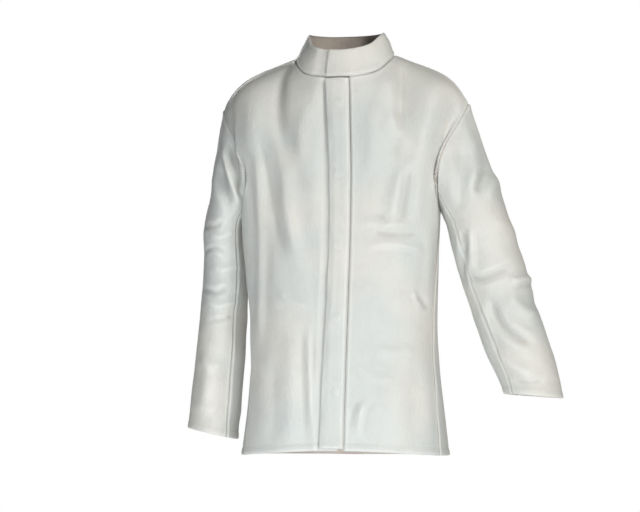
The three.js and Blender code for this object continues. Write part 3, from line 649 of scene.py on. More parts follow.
def section(z, theta):
    w, back, wide = (float(table(SECTIONS, z, k)) for k in (1, 2, 3))
    s, c = math.sin(math.radians(theta)), math.cos(math.radians(theta))
    if theta <= 90:
        q = 2 / FRONT_SQUARENESS
        return np.array([FLAT_HALF + (w - FLAT_HALF) * s**q,
            front_y(z) + (wide - front_y(z)) * (1 - max(c, 0) ** q), z])
    q = 2 / BACK_SQUARENESS
    return np.array([w * max(s, 0) ** q, wide + (back - wide) * (-c) ** q, z])


def side_of(x):
    return math.degrees(math.asin(((x - FLAT_HALF) / (190 - FLAT_HALF)) ** (FRONT_SQUARENESS / 2)))


def twice(rows):
    """Rows with one more between each two."""
    rows = np.array(rows, float)
    knots = run_of(rows)
    middle = (knots[1:] + knots[:-1]) / 2
    return spline(knots, rows, np.sort(np.concatenate([knots, middle])))


LOW_TURN, HIGH_ROWS = [0, 0.045, 0.25, 0.5, 0.75], 6
ROW_KNOTS = np.array([460 * t for t in LOW_TURN] + [460 + 35 * j for j in range(HIGH_ROWS + 1)], float)


def column(top, way, x=None, place=None, back=False):
    theta = place if place is not None else (side_of(x) if x > FLAT_HALF else 0)
    flat = not back and x is not None and x <= FLAT_HALF

    def spot(z):
        seam = float(table(SECTIONS, z, 4))
        if flat:
            return np.array([x, front_y(z), z])
        return section(z, seam + (theta - 90) * (180 - seam) / 90 if back else theta * seam / 90)

    hem = float(table(HEM_HEIGHT, theta))
    rows = [spot(hem + (CHEST_Z - hem) * t) for t in LOW_TURN]
    start, top, way = spot(CHEST_Z), np.array(top, float), unit(way)
    reach = np.linalg.norm(start - top) * 0.36
    lean = 0 if back else FRONT_SLOPE * (1 - theta / 90)
    a, b = start + unit([0, lean, 1]) * reach, top - way * reach * (1 - 0.7 * abs(way[0]))
    for j in range(HIGH_ROWS + 1):
        t = j / HIGH_ROWS
        rows.append((1 - t) ** 3 * start + 3 * (1 - t) ** 2 * t * a + 3 * (1 - t) * t * t * b + t**3 * top)
    return rows


def half_front(cut_x):
    cut = [column(neck(math.degrees(math.asin(x / NECK_HALF_WIDTH))), [0, FRONT_SLOPE, 1], x=x)
        for x in cut_x]
    neck_rows = zip(NECK_FRONT_ANGLES, NECK_FRONT_WAYS, NECK_FRONT_CHEST_X)
    neck_part = [column(neck(a), w, x=x) for a, w, x in neck_rows]
    side = [column(neck(NECK_SIDE_ANGLE), NECK_SIDE_WAY, x=NECK_SIDE_CHEST_X)]
    shoulder = [column(r[:3], r[3:], x=x) for r, x in zip(SHOULDER, SHOULDER_CHEST_X)]
    chest_angles = [side_of(x) for x in ARMHOLE_CHEST_X] + [85, 90]
    places = np.interp(np.arange(13) / 2, np.arange(7), chest_angles)
    arm = [column(r[:3], r[3:], place=p) for r, p in zip(ARMHOLE_FRONT_LINE, places)]
    corners = [len(cut) + len(neck_part), len(cut) + len(neck_part) + 1 + len(shoulder)]
    return np.array(cut + neck_part + side + shoulder + arm), corners


ARMHOLE_FRONT_LINE, ARMHOLE_BACK_LINE = twice(ARMHOLE_FRONT), twice(ARMHOLE_BACK)


def whole_back():
    places = np.interp(np.arange(13) / 2, np.arange(7), ARMHOLE_BACK_PLACES)
    half = [column(r[:3], r[3:], place=p, back=True) for r, p in zip(ARMHOLE_BACK_LINE, places)]
    shoulder = list(zip(SHOULDER, SHOULDER_BACK_PLACES))[::-1]
    half += [column(r[:3], [r[3], -r[4], r[5]], place=p, back=True) for r, p in shoulder]
    side_way = NECK_SIDE_WAY * [1, -1, 1]
    half += [column(neck(NECK_SIDE_ANGLE), side_way, place=NECK_SIDE_BACK_PLACE, back=True)]
    neck_rows = zip(NECK_BACK_ANGLES, NECK_BACK_WAYS, NECK_BACK_PLACES)
    half += [column(neck(a), w, place=p, back=True) for a, w, p in neck_rows]
    middle = [column(neck(180), [0, -0.45, 0.9], place=180, back=True)]
    half, middle = np.array(half), np.array(middle)
    return np.concatenate([half, middle, half[::-1] * [-1, 1, 1]]), [12, 17, 27, 32]


def fair(grid, rounds=300):
    """Takes short ripples out of an even grid, and leaves its border and its large shape."""
    even = grid.copy()
    for _ in range(rounds):
        for amount in (0.5, -0.505):
            mean = (even[:-2, 1:-1] + even[2:, 1:-1] + even[1:-1, :-2] + even[1:-1, 2:]) / 4
            even[1:-1, 1:-1] += amount * (mean - even[1:-1, 1:-1])
    return even


def draw(net, corners, pitch, step_up, held=None):
    """Fine grid through a net of columns, without ripples; held is the share that stays as drawn."""
    knots = np.concatenate([[0], np.cumsum(np.linalg.norm(np.diff(net, axis=0), axis=-1).mean(1))])
    even_across = np.linspace(0, knots[-1], round(knots[-1] / 6.5))
    even_up = np.linspace(0, ROW_KNOTS[-1], round(ROW_KNOTS[-1] / 6.5))
    even = trace(net, corners, knots, even_across, even_up)
    calm = fair(even)
    if held is not None:
        share = held(even)[..., None]
        calm = even * share + calm * (1 - share)
    across, up = spread(0, knots[-1], pitch), spread(0, ROW_KNOTS[-1], step_up)
    return spline(even_across, spline(even_up, calm.transpose(1, 0, 2), up).transpose(1, 0, 2), across)


def trace(net, corners, knots, across, up):
    """Grid through a net of columns; along the top edge the curve turns sharply at the corners."""
    rows = spline(ROW_KNOTS, net.transpose(1, 0, 2), up).transpose(1, 0, 2)
    smooth = spline(knots, rows, across)
    sharp = np.empty_like(smooth)
    stops = [0, *corners, len(knots) - 1]
    for a, b in zip(stops[:-1], stops[1:]):
        chosen = (across >= knots[a] - 1e-9) & (across <= knots[b] + 1e-9)
        if b - a == 1:
            t = ((across[chosen] - knots[a]) / (knots[b] - knots[a]))[:, None, None]
            sharp[chosen] = rows[a] * (1 - t) + rows[b] * t
        else:
            sharp[chosen] = spline(knots[a:b + 1], rows[a:b + 1], across[chosen])
    share = step(up, ROW_KNOTS[-1] - 110, ROW_KNOTS[-1])[None, :, None]
    return smooth * (1 - share) + sharp * share


def in_torso(p):
    q = p.copy()
    q[..., 0], q[..., 1], q[..., 2] = 0, -5, np.minimum(p[..., 2], -120)
    return q


# The front edge wanders a little to each side on its way down
FRONT_DRIFT = [[-800, -8], [-785, -8], [-640, -5], [-498, -1], [-380, 2], [-246, 3], [-140, 0.5],
    [-57, -1.5], [0, -2], [60, -2]]


def drift(points):
    moved = points.copy()
    near_middle, at_front = 1 - step(np.abs(points[..., 0]), 34, 150), 1 - step(points[..., 1], -60, -20)
    moved[..., 0] += table(FRONT_DRIFT, points[..., 2]) * near_middle * at_front
    for x, push in ((-92, 9.0), (94, 2.0)):
        across, up = (points[..., 0] - x) / 55, (points[..., 2] - 42) / 62
        moved[..., 0] += push * np.exp(-(across ** 2) - up ** 2)
    return moved


FRONT_FOLDS = [
    ([(-156, -118), (-118, -199), (-94, -345), (-66, -452)], 15, 6.0),
    ([(-178, -130), (-150, -215), (-128, -330), (-112, -420)], 13, -3.6),
    ([(-165, -150), (-160, -300), (-158, -480), (-163, -640)], 9, 3.0),
    ([(-54, -520), (-50, -640), (-44, -772)], 8, 3.4), ([(-39, -560), (-37, -680), (-34, -778)], 6, -2.2),
    ([(-92, -560), (-84, -680), (-86, -785)], 15, 2.4),
    ([(-130, -600), (-124, -700), (-128, -790)], 14, -2.4),
    ([(-60, -100), (-74, -160), (-72, -230)], 12, 2.2), ([(-120, -470), (-90, -500), (-50, -508)], 9, 2.0),
    ([(92, -118), (112, -165), (139, -218)], 12, 4.4), ([(142, -225), (136, -285), (126, -356)], 11, -4.4),
    ([(118, -230), (110, -300), (96, -372)], 12, 3.2), ([(172, -330), (176, -430), (170, -540)], 8, 2.4),
    ([(40, -340), (92, -352), (150, -344)], 8, 2.6), ([(62, -366), (110, -372), (172, -366)], 7, -2.6),
    ([(48, -392), (104, -392), (176, -402)], 8, 2.4),
    ([(150, -486), (164, -502), (176, -518)], 6, -3.0), ([(138, -478), (152, -494), (164, -512)], 6, 2.0),
    ([(60, -592), (110, -597), (160, -590)], 9, 1.8), ([(40, -688), (30, -712), (20, -750)], 7, -2.4),
    ([(58, -680), (48, -716), (40, -765)], 8, 2.2),
    ([(100, -620), (108, -700), (104, -790)], 17, 2.6), ([(146, -600), (150, -700), (148, -795)], 15, -2.6),
    ([(60, -110), (66, -180), (60, -262)], 12, 2.0), ([(30, -610), (60, -640), (120, -652)], 8, 1.4),
]
BACK_FOLDS = [
    ([(-176, -170), (-120, -300), (-60, -420)], 18, 4.5), ([(176, -170), (124, -310), (70, -440)], 18, 4.2),
    ([(-190, -260), (-150, -380), (-120, -470)], 14, -3.6),
    ([(190, -260), (150, -360), (130, -460)], 14, -3.4),
    ([(-130, -440), (-10, -462), (120, -448)], 12, 3.2), ([(-120, -486), (0, -500), (110, -490)], 11, -3.0),
    ([(-96, -520), (10, -532), (96, -520)], 12, 2.2),
    ([(-70, -560), (-78, -680), (-84, -800)], 20, 4.2), ([(-20, -580), (-14, -690), (-18, -800)], 18, -3.2),
    ([(48, -560), (60, -690), (66, -800)], 20, 4.0), ([(128, -560), (134, -690), (142, -800)], 18, 3.2),
    ([(-142, -580), (-150, -690), (-154, -800)], 18, 3.0),
    ([(-60, -40), (0, -70), (60, -40)], 14, -2.2), ([(-90, -90), (0, -118), (90, -90)], 18, 2.0),
]
SLEEVE_FOLDS = {
    "left": [
        ([(292, -222), (280, -250), (262, -292)], 9, -4.6),
        ([(310, -236), (300, -268), (284, -306)], 10, 3.4),
        ([(256, -150), (262, -220), (250, -300)], 13, 3.4),
        ([(228, -180), (238, -250), (232, -330)], 11, -3.2),
        ([(242, -352), (240, -400), (236, -440), (242, -472)], 6, -4.0),
        ([(252, -345), (256, -398), (252, -450)], 8, 3.4),
        ([(236, -440), (262, -454), (300, -446), (340, -430)], 8, -4.2),
        ([(322, -464), (362, -452), (394, -447)], 8, 4.6),
        ([(292, -478), (302, -530), (332, -562), (384, -586)], 10, -7.0),
        ([(318, -480), (346, -512), (392, -530)], 15, 5.6),
        ([(262, -500), (276, -560), (304, -620)], 12, 4.0),
        ([(300, -590), (330, -622), (380, -640)], 11, 4.0),
        ([(330, -650), (352, -656), (396, -650)], 7, -2.2),
        ([(286, -340), (322, -352), (352, -372)], 14, 1.8),
        ([(280, -384), (318, -392), (352, -404)], 13, -1.8)],
    "right": [
        ([(-244, -170), (-232, -215), (-216, -262), (-202, -306)], 6.5, 6.5),
        ([(-228, -160), (-214, -215), (-203, -298)], 9, -13.0),
        ([(-252, -215), (-238, -262), (-214, -322)], 9, -5.0),
        ([(-262, -180), (-258, -250), (-244, -320)], 14, 3.8),
        ([(-290, -336), (-262, -344), (-232, -336)], 6, -2.4),
        ([(-276, -362), (-246, -366), (-210, -350)], 7, 2.0),
        ([(-292, -396), (-262, -388), (-226, -402)], 5, -1.8),
        ([(-270, -420), (-240, -430), (-206, -414)], 8, 2.0),
        ([(-294, -460), (-256, -476), (-222, -464)], 6, -3.0),
        ([(-286, -488), (-250, -502), (-206, -486)], 8, 2.4),
        ([(-274, -526), (-244, -530), (-212, -514)], 5, -1.6),
        ([(-280, -560), (-270, -640), (-284, -730)], 14, 3.6),
        ([(-240, -580), (-236, -660), (-246, -740)], 12, -3.0),
        ([(-300, -600), (-262, -622), (-224, -612)], 12, 2.4),
        ([(-312, -690), (-274, -708), (-232, -700)], 10, 2.0)],
}
SLEEVE_BACK_FOLDS = {
    side: [([(s * 214, -300), (s * 250, -330), (s * (330 if s > 0 else 290), -350)], 11, 4.0),
    ([(s * 216, -350), (s * 256, -372), (s * (340 if s > 0 else 290), -390)], 10, -3.6),
           ([(s * 222, -420), (s * 262, -446), (s * (360 if s > 0 else 294), -452)], 12, 4.6),
           ([(s * 226, -470), (s * 270, -486), (s * (372 if s > 0 else 300), -500)], 10, -4.4),
           ([(s * 236, -520), (s * 280, -544), (s * (388 if s > 0 else 304), -556)], 12, 3.6),
           ([(s * 250, -600), (s * 300, -624), (s * (404 if s > 0 else 308), -640)], 12, 2.4)]
    for side, s in (("left", 1), ("right", -1))
}


def torso_height(sheet, folds, seed):
    p = sheet.points
    broad = rumple(p, (120, 120, 260), seed) * 2.4
    small = rumple(p, (46, 46, 70), seed + 7) * 0.7
    crease = rumple(p, (95, 95, 150), seed + 13, True) * 1.1
    return fold_heights(p, folds) + broad + small + crease


def near_opening(p):
    """0 along the fastened front edge, where the leather is held flat, 1 away from it."""
    return step(np.abs(p[..., 0] - table(FRONT_DRIFT, p[..., 2])), 26, 52)


def front_sheet(side):
    net, corners = half_front([FLAP_SEAM_X] if side == "left" else [-UNDERLAP_X, 0, 10, 23, 32])
    points = draw(net, corners, 3.2, 3.4, lambda p: 1 - step(p[..., 0], 30, 62))
    if side == "right":
        points[..., 1] += UNDERLAP_DIP * (1 - step(points[..., 0], 24, 36))
        points[..., 0] *= -1
    return Sheet(drift(points), in_torso)


# The right front is creased down its side and stands out over the sleeve.
# Each row is height, place across and stand-out.
SIDE_CREASE = {"right": [[-800, -200, 8], [-700, -196, 10], [-571, -192, 13], [-460, -194, 18],
    [-330, -196, 23], [-205, -195, 22], [-140, -203, 13], [-84, -213, 5], [-50, -214, 0]],
               "left": [[-800, 196, 0], [-571, 184, 0], [-400, 186, 4], [-300, 186, 5], [-200, 190, 4],
               [-140, 200, 2], [-80, 212, 0]]}


def crease_side(sheet, side):
    """Pushes the front out along its side crease, leaving its seams in place."""
    p, flip = sheet.points, -1 if side == "right" else 1
    top = p[:, -1]
    seam = np.concatenate([p[-1], top[(np.abs(top[:, 0]) > 186) & (top[:, 2] < -96)]])
    gap = np.array([np.linalg.norm(line[:, None] - seam[None], axis=-1).min(1) for line in p])
    off = np.abs(p[..., 0] - table(SIDE_CREASE[side], p[..., 2], 1))
    amount = table(SIDE_CREASE[side], p[..., 2], 2) * np.exp(-((off / 24) ** 1.3)) * step(gap, 0, 15)
    sheet.points = p + amount[..., None] * np.array([0.8 * flip, -0.6, 0])
    sheet.ways = sheet.directions(None)


FRONT_SEED, BACK_SEED, SLEEVE_SEED = {"left": 3.1, "right": 9.4}, 17.9, {"left": 23.7, "right": 57.1}


def shape_front(sheet, side):
    crease_side(sheet, side)
    sewn = ("start", "end", "high") if side == "left" else ("end", "high")
    shape, share = edge_shape(sheet, sewn=sewn, free=("low",), fade=("high",))
    folds = torso_height(sheet, FRONT_FOLDS, FRONT_SEED[side]) * share * near_opening(sheet.points)
    sheet.push(folds + shape + hem_shape(sheet))


def hem_shape(sheet, depth=HEM_STITCH):
    """Turned hem: slightly thicker below its stitch line, with a groove along the stitches."""
    d = sheet.edge_distances()["low"]
    return 0.7 * (1 - step(d, depth - 2, depth + 2)) - 0.55 * np.exp(-(((d - depth) / 1.8) ** 2))


def back_sheet():
    net, corners = whole_back()
    return Sheet(drift(draw(net, corners, 4.2, 4.2)), in_torso)


def shape_back(sheet):
    shape, share = edge_shape(sheet, sewn=("start", "end", "high"), free=("low",), fade=("high",))
    folds = torso_height(sheet, BACK_FOLDS, BACK_SEED) * share * step(np.abs(sheet.points[..., 1]), 4, 50)
    sheet.push(folds + shape + hem_shape(sheet))


ALL = slice(None)
EDGES = {"start": (0, ALL), "end": (-1, ALL), "low": (ALL, 0), "high": (ALL, -1)}


def edges_of(sheet):
    """Names of the edges that a sheet may share at a seam."""
    return ["low"] if sheet.loop else ["start", "end", "high"]


def border(sheet, values):
    return np.concatenate([values[EDGES[name]] for name in edges_of(sheet)])


def share_seams(sheets, reach=6.0, depth=9.0):
    """Gives neighbouring sheets one direction along each seam that they share."""
    found = []
    for sheet in sheets:
        for name in edges_of(sheet):
            own, ways = sheet.points[EDGES[name]], sheet.ways[EDGES[name]]
            total = ways.copy()
            for other in sheets:
                if other is sheet:
                    continue
                gap = np.linalg.norm(own[:, None] - border(other, other.points)[None], axis=-1)
                way = border(other, other.ways)[gap.argmin(1)]
                near = (gap.min(1) < reach) & (np.sum(way * ways, -1) > -0.3)
                total += way * near[:, None]
            found.append((sheet, name, unit(total)))
    for sheet, name, ways in found:
        share = (1 - step(sheet.edge_distances()[name], 0, depth))[..., None]
        along = ways[:, None] if name in ("low", "high") else ways[None]
        sheet.ways = unit(sheet.ways * (1 - share) + along * share)


# ---------------------------------------------------------------- front opening, flap and collar
DOWN, OUT = unit([0, -FRONT_SLOPE, -1]), unit([0, -1, FRONT_SLOPE])


def opening(x, d, s):
    x, d, s = np.broadcast_arrays(x, d, s)
    across = np.stack([x, np.zeros(x.shape), np.zeros(x.shape)], -1)
    return across + np.array([0, FRONT_Y, FRONT_NECK_Z]) + d[..., None] * OUT + s[..., None] * DOWN


def flap_sheet():
    seam, free = FLAP_SEAM_X - GAP, FLAP_SEAM_X - GAP - FLAP_WIDTH
    crown = 4.35
    across = spread(0, seam - free, 2.0)
    down = spread(FLAP_TOP_DROP, FLAP_TOP_DROP + FLAP_LENGTH, 2.6)
    x = seam - across
    rise = table([[-30, 1.2], [free, 1.4], [-15, 2.9], [-9, crown], [0, crown], [9, crown], [15, 2.8],
        [seam, FLAP_OUT], [30, 1.0]], x)
    grid = opening(x[:, None], rise[:, None], down[None, :])
    widen = table([[0, 3.5], [120, 0.5], [300, -2.5], [450, -1], [620, 2], [725, 3]], down)
    grid[..., 0] -= (across / across[-1])[:, None] ** 2 * widen[None, :]
    sheet = Sheet(drift(grid), lambda p: p + [0, 40, 0])
    shape, _ = edge_shape(sheet, sewn=("start",), free=("end", "low", "high"))
    bumps = np.zeros(shape.shape)
    for s in SNAPS:
        centre = opening(0, 0, s)
        r = np.linalg.norm((sheet.points - centre)[..., [0, 2]], axis=-1)
        bumps += 0.75 * (1 - step(r, 3.5, 10.5)) - 0.15 * np.exp(-(((r - 12) / 3.0) ** 2))
    inside = np.minimum(across[-1] - across, across)[:, None]
    wave = rumple(sheet.points, (40, 60, 75), 31.7) * 0.75 + rumple(sheet.points, (60, 60, 26), 5.3) * 0.35
    edge_wave = rumple(sheet.points, (300, 300, 60), 71.3) * 0.9 * step(across, 28, 43.5)[:, None]
    sheet.push(shape + bumps + wave * step(inside, 0, 9) + edge_wave)
    return sheet


def collar_sheet():
    """Collar from the closing end of the left side round the back to the end under it."""
    closing = math.degrees(math.asin((FLAP_SEAM_X - GAP - TAB_WIDTH) / NECK_HALF_WIDTH))
    hinge = math.degrees(math.asin((FLAP_SEAM_X - GAP) / NECK_HALF_WIDTH))
    under = 360 + math.degrees(math.asin(UNDERLAP_X / NECK_HALF_WIDTH))
    fine = np.linspace(closing, under, 721)
    runs = run_of(neck(fine))
    turn = np.interp(hinge, fine, runs)
    places = np.concatenate([spread(0, turn, 2.4, True, False)[:-1],
        spread(turn, runs[-1], 2.8, False, True)])
    angles = np.interp(places, runs, fine)
    low = neck(angles) + [0, 0, GAP + 0.1]
    a = (angles + 180) % 360 - 180
    high = np.stack([COLLAR_TOP_HALF_WIDTH * np.sin(np.radians(a)),
        COLLAR_TOP_CENTRE_Y - COLLAR_TOP_HALF_DEPTH * np.cos(np.radians(a)),
                     table(COLLAR_HEIGHT, np.abs(a))], -1)
    up = spread(0, 50, 2.2) / 50
    grid = low[:, None] * (1 - up[None, :, None]) + high[:, None] * up[None, :, None]
    grid[..., 1] += (COLLAR_DIP * step(angles, 324, 340))[:, None]
    hinge_column = int(np.argmin(np.abs(places - turn)))
    out = np.stack([np.sin(np.radians(a)) / NECK_HALF_WIDTH, -np.cos(np.radians(a)) / NECK_HALF_DEPTH,
        np.full(a.shape, 0.0012)], -1)
    sheet = Sheet(drift(grid), lambda p: p - unit(out)[:, None] * 30)
    shape, _ = edge_shape(sheet, sewn=("low",), free=("start", "end", "high"))
    body = np.sin(np.pi * up)[None, :]
    wave = rumple(sheet.points, (60, 60, 34), 41.2) * 1.1 + rumple(sheet.points, (34, 34, 60), 11.9) * 0.6
    belly = 1.2 * body * np.ones(shape.shape)
    sheet.push(shape + belly + wave * step(up, 0.02, 0.25)[None, :])
    return sheet, hinge_column


def loop_sheet():
    """Hanger loop strap inside the back of the neck."""
    y = NECK_CENTRE_Y + NECK_HALF_DEPTH - PATTERN_LEATHER - FACING - 2 * GAP - 0.7
    line = [(-34, -6.4), (-25, -4.0), (-19, -9.2), (-11, -11.7), (0, -12.0), (11, -11.7), (19, -9.2),
        (25, -4.0), (34, -6.4)]
    path = trail(line, 8)
    up = spread(12, 21, 1.2, False, False)
    grid = np.stack([np.broadcast_to(path[:, :1], (len(path), len(up))),
        np.broadcast_to(path[:, 1:] + y, (len(path), len(up))),
                     np.broadcast_to(up, (len(path), len(up)))], -1)
    return Sheet(grid, lambda p: p + [0, 20, 0])


# ---------------------------------------------------------------- sleeves
def ring(centre, direction, a, b, flip):
    along = unit(direction)
    outward = unit(np.array([flip, 0, 0]) - along * along[0] * flip)
    forward = np.cross(outward, along) * flip
    if forward[1] > 0:
        forward = -forward
    t = 2 * np.pi * np.arange(RING_POINTS) / RING_POINTS
    return np.array(centre) + a * np.cos(t)[:, None] * outward + b * np.sin(t)[:, None] * forward


def sleeve_sheet(side, neighbours):
    flip = 1 if side == "left" else -1
    armhole = np.concatenate([ARMHOLE_FRONT_LINE[:, :3], ARMHOLE_BACK_LINE[1:-1, :3]]) * [flip, 1, 1]
    first = armhole + np.array([0.8 * flip, 0, -0.6]) * (GAP + 0.35)
    rings = [ring(*r, flip) for r in SLEEVE_RINGS[side]]
    net = np.array([first, first * 0.67 + rings[0] * 0.33, first * 0.32 + rings[0] * 0.68,
        *rings]).transpose(1, 0, 2)
    rows = np.concatenate([[0], np.cumsum(np.linalg.norm(np.diff(net, axis=1), axis=-1).mean(0))])
    elbow = rows[5]
    chords = np.linalg.norm(np.roll(net, -1, 0) - net, axis=-1).mean(1)
    knots = np.concatenate([[0], np.cumsum(chords)])
    around = knots[-1]
    wide = np.concatenate([knots[:-1] - around, knots[:-1], knots + around])
    wide_net = np.concatenate([net, net, net, net[:1]])
    turn = UNDER_TO - RING_POINTS
    seam_a, seam_b, seam_c = knots[UNDER_TO] - around, knots[UNDER_FROM], knots[UNDER_TO]
    top, under = spread(seam_a, seam_b, 3.2), spread(seam_b, seam_c, 3.2)
    places = np.concatenate([top, under[1:-1]])
    up = np.concatenate([spread(0, elbow, 3.2, True, False)[:-1],
        spread(elbow, rows[-1], 3.2, False, True)])
    fine = spline(rows, wide_net.transpose(1, 0, 2), up).transpose(1, 0, 2)
    grid = spline(wide, fine, places)
    centres = np.array([r[0] for r in SLEEVE_RINGS[side]], float)

    def inside(p):
        d = np.linalg.norm(p[..., None, :] - centres, axis=-1)
        q = centres[np.argmin(d, -1)]
        q[..., 2] = np.minimum(p[..., 2], -240)
        return q

    sheet = Sheet(grid, inside, loop=True)
    share_seams([sheet, *neighbours])
    seam_at = {"top": (0, len(top) - 1), "under": (len(top) - 1, len(places))}
    elbow_row = int(np.argmin(np.abs(up - elbow)))
    d = sheet.edge_distances()
    length = d["low"]
    front = step(-sheet.ways[..., 1], -0.75, 0.35)
    back = step(sheet.ways[..., 1], -0.35, 0.75)
    seed = SLEEVE_SEED[side]
    height = fold_heights(sheet.points, SLEEVE_FOLDS[side]) * front
    height = height + fold_heights(sheet.points, SLEEVE_BACK_FOLDS[side]) * back
    broad = rumple(sheet.points, (90, 90, 120), seed) * 2.0
    small = rumple(sheet.points, (46, 46, 50), seed + 3) * 0.6
    crease = rumple(sheet.points, (80, 80, 95), seed + 9, True) * 1.2
    height += broad + small + crease
    height *= step(length, 1, 34) * (0.35 + 0.65 * step(d["high"], 4, 40))
    height += -1.2 * np.exp(-((length / 2.2) ** 2)) + 0.5 * np.exp(-(((length - 6) / 4.0) ** 2))
    high = d["high"]
    cuff_turn = 0.7 * (1 - step(high, HEM_STITCH - 2, HEM_STITCH + 2))
    groove = 0.55 * np.exp(-(((high - HEM_STITCH) / 1.8) ** 2))
    height += -0.9 * np.exp(-((high / 1.3) ** 2)) + cuff_turn - groove
    for seam in (seam_a, seam_b):
        gap = np.abs((places - seam + around / 2) % around - around / 2)[:, None] * np.ones(height.shape)
        height += -1.6 * np.exp(-((gap / 2.2) ** 2)) + 0.6 * np.exp(-(((gap - 5.5) / 3.5) ** 2))
    sheet.push(height)
    return sheet, seam_at, elbow_row


def arc(sheet, i0, i1, j0=0, j1=None):
    """Part of a closed sheet, which may pass its first column."""
    n = len(sheet.points)
    j1 = sheet.points.shape[1] - 1 if j1 is None else j1
    return sheet.pick([i % n for i in range(i0, i1 + 1)], slice(j0, j1 + 1))


# ---------------------------------------------------------------- assembly
ELBOW = {"left": (np.array([299, 14, -458]), unit([0.28, -0.02, -0.96])),
    "right": (np.array([-249, 28, -456]), unit([-0.07, 0, -0.99]))}


# Way out of the plane of the armhole and distances along it, in metres; joined reads them for the sleeves but
# nothing bends
ARMHOLE_WAY = (0.963, 0, -0.27)
SHOULDER_BEND_START, SHOULDER_BEND_END = 0.270, {"left_sleeve": 0.350, "right_sleeve": 0.314}
ELBOW_BEND = 70


def joined(obj, where):
    """Rides on the body named by where; sleeve, forearm, storm flap and collar tab pieces are only baked in
    place.
    """
    if where in ("left_sleeve", "right_sleeve"):
        s = 1 if where == "left_sleeve" else -1
        way = np.array([ARMHOLE_WAY[0] * s, *ARMHOLE_WAY[1:]])
        start, end = way * SHOULDER_BEND_START, way * SHOULDER_BEND_END[where]
        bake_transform(obj)
    elif where in ("left_forearm", "right_forearm"):
        side = where.split("_")[0]
        centre, way = ELBOW[side]
        tuple(centre * MM)
        tuple((centre + way * ELBOW_BEND) * MM)
        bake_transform(obj)
    elif where == "storm_flap":
        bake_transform(obj)
    elif where == "collar_tab":
        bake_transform(obj)
    else:
        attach(obj, where)


def piece(name, sheet, where, stands_for, facing=None,
        close=False):
    if facing is None:
        obj = build(name, sheet, close=close)
    else:
        obj = build(name, sheet, top=facing, thick=FACING, finishes=("suede",), close=close)
    width, length, area = sheet.flat()
    joined(obj, where)
    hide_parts(stands_for)
    return obj


def stitches(name, lines, where):
    obj = sew(name, lines)
    joined(obj, where)
    return obj


def between_columns(sheet, first, last):
    """Columns whose middle lies between two distances from the start edge."""
    run = sheet.edge_distances()["start"].mean(1)
    chosen = np.nonzero((run >= first) & (run <= last))[0]
    return int(chosen[0]), int(chosen[-1])


def rows_up_to(sheet, height, margin=1.0):
    run = sheet.edge_distances()["low"].mean(0)
    chosen = np.nonzero((run >= margin) & (run <= height))[0]
    return int(chosen[0]), int(chosen[-1])


add_camera()

left_front, right_front, back = front_sheet("left"), front_sheet("right"), back_sheet()
share_seams([left_front, right_front, back])
sleeves = {"left": sleeve_sheet("left", [left_front, back]),
    "right": sleeve_sheet("right", [right_front, back])}
shape_front(left_front, "left")
shape_front(right_front, "right")
shape_back(back)
piece("front_left_leather", left_front, "torso", "front_left_panel")
piece("front_right_leather", right_front, "torso", "front_right_panel")
piece("back_leather", back, "torso", "back_panel")
for side, sheet in (("left", left_front), ("right", right_front)):
    i0, i1 = between_columns(sheet, 0.5, FACING_WIDTH[side])
    j0, j1 = rows_up_to(sheet, 1e4)
    piece(f"front_{side}_facing_suede", sheet.part(i0, i1, j0, j1 - 2), "torso", f"front_{side}_facing",
        INNER)
    j0, j1 = rows_up_to(sheet, TURN_DEPTH)
    piece(f"front_{side}_hem_turn", sheet.part(i1 + 1, len(sheet.points) - 3, j0, j1), "torso",
        f"hem_facing_{side}", INNER)
    lines = [line_in(sheet, "low", HEM_STITCH), line_in(sheet, "end", EDGE_STITCH)]
    if side == "left":
        lines.append(line_in(sheet, "start", SEAM_STITCH))
    stitches(f"front_{side}_stitching", lines, "torso")
j0, j1 = rows_up_to(back, TURN_DEPTH)
piece("back_hem_turn", back.part(2, len(back.points) - 3, j0, j1), "torso", "hem_facing_back",
    INNER)
stitches("back_stitching", [line_in(back, "low", HEM_STITCH), line_in(back, "high", EDGE_STITCH)], "torso")

collar, hinge_column = collar_sheet()
tab, round_neck = collar.part(0, hinge_column), collar.part(hinge_column)
rows = collar.points.shape[1] - 1
piece("collar_leather", round_neck, "torso", "collar_outer")
piece("collar_suede", round_neck.part(1, None, 1, rows - 1), "torso", "collar_lining",
    INNER)
piece("collar_tab_leather", tab, "collar_tab", "collar_tab_outer")
piece("collar_tab_suede", tab.part(2, None, 1, rows - 1), "collar_tab", "collar_tab_lining",
    INNER)
stitches("collar_stitching", [line_in(round_neck, "high", EDGE_STITCH),
    line_in(round_neck, "low", EDGE_STITCH)], "torso")
stitches("collar_tab_stitching", [line_in(tab, "high", EDGE_STITCH), line_in(tab, "low", EDGE_STITCH),
    line_in(tab, "start", EDGE_STITCH)], "collar_tab")

flap = flap_sheet()
piece("storm_flap_leather", flap, "storm_flap", "storm_flap_outer")
columns_in, rows_in = flap.points.shape[:2]
piece("storm_flap_suede", flap.part(2, columns_in - 5, 3, rows_in - 4), "storm_flap", "storm_flap_facing",
    INNER)
stitches("storm_flap_stitching", [line_in(flap, "end", EDGE_STITCH), line_in(flap, "start", SEAM_STITCH),
    line_in(flap, "low", EDGE_STITCH), line_in(flap, "high", 6)], "storm_flap")

loop = loop_sheet()
strap = build("hanger_loop_strap", loop, top=-0.9, thick=1.8, finishes=("suede",))
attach(strap, "torso")
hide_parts("hanger_loop")

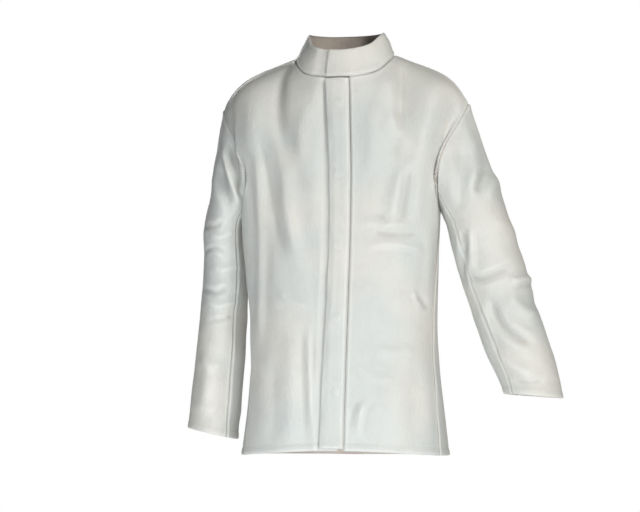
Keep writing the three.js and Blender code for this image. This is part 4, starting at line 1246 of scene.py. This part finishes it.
for side in ("left", "right"):
    sleeve, seam_at, elbow_row = sleeves[side]
    last = sleeve.points.shape[1] - 1
    for half, (i0, i1) in seam_at.items():
        upper, fore = arc(sleeve, i0, i1, 0, elbow_row), arc(sleeve, i0, i1, elbow_row, last)
        piece(f"{side}_upper_{half}_leather", upper, f"{side}_sleeve", f"{side}_upper_{half}_sleeve")
        piece(f"{side}_forearm_{half}_leather", fore, f"{side}_forearm", f"{side}_forearm_{half}_sleeve")
        if half == "top":
            stitches(f"{side}_upper_stitching", [line_in(upper, "low", EDGE_STITCH),
                line_in(upper, "start", EDGE_STITCH), line_in(upper, "end", EDGE_STITCH)],
                f"{side}_sleeve")
            stitches(f"{side}_forearm_stitching",
                [line_in(fore, "start", EDGE_STITCH), line_in(fore, "end", EDGE_STITCH)],
                f"{side}_forearm")
    run = sleeve.edge_distances()["high"].mean(0)
    chosen = np.nonzero((run >= 1) & (run <= TURN_DEPTH))[0]
    cuff = sleeve.pick(slice(None), slice(chosen[0], chosen[-1] + 1))
    piece(f"{side}_cuff_turn", cuff, f"{side}_forearm", f"{side}_cuff_facing",
        INNER, close=True)
    hem = arc(sleeve, 0, len(sleeve.points))
    stitches(f"{side}_cuff_stitching", [line_in(hem, "high", HEM_STITCH, 0)], f"{side}_forearm")

for kind in ("cap", "socket", "stud", "post"):
    for i in range(1, SNAP_COUNT + 1):
        node = bpy.data.objects[f"snap_{kind}_{i}"]
        for material_slot in node.material_slots:
            material_slot.material = FINISHES["metal"]

# ---------------------------------------------------------------- studio
FLOOR_RADIUS, FLOOR_Z = 4.2, -1.3
FILL_LIGHT, BACKDROP_LIGHT = 0.05, 1.0
scene = bpy.context.scene
scene.view_settings.view_transform = "Standard"
world = bpy.data.worlds.new("white_studio")
scene.world = world
world.use_nodes = True
tree = world.node_tree
backdrop = tree.nodes["Background"]
backdrop.inputs["Color"].default_value = (1, 1, 1, 1)
seen = tree.nodes.new("ShaderNodeLightPath")
strength = tree.nodes.new("ShaderNodeMapRange")
strength.inputs["To Min"].default_value = FILL_LIGHT
strength.inputs["To Max"].default_value = BACKDROP_LIGHT
tree.links.new(seen.outputs["Is Camera Ray"], strength.inputs["Value"])
tree.links.new(strength.outputs["Result"], backdrop.inputs["Strength"])
add_light("key_light", (2.35, -2.15, 0.25), (0.05, 0, -0.38), 1.3, 20, (1.0, 0.985, 0.95))
add_light("high_light", (1.5, -1.3, 1.5), (0, 0, -0.2), 1.2, 37, (1.0, 0.99, 0.95))
add_light("low_right_bounce", (0.55, -2.0, -1.2), (-0.02, 0, -0.72), 1.2, 26, (0.96, 0.98, 1.0))
add_light("low_left_bounce", (-0.5, -1.7, -1.25), (-0.05, 0, -0.75), 1.3, 31, (0.92, 0.97, 1.0))
add_light("back_light", (-0.9, 2.8, 0.9), (0, 0, -0.4), 1.8, 96, (1, 1, 1))

bpy.ops.object.select_all(action="DESELECT")
bpy.ops.mesh.primitive_circle_add(vertices=96, radius=FLOOR_RADIUS, fill_type="NGON",
    location=(0, 0, FLOOR_Z))
floor = bpy.context.object
floor.name = "studio_floor"
floor.data.materials.append(FINISHES["floor"])
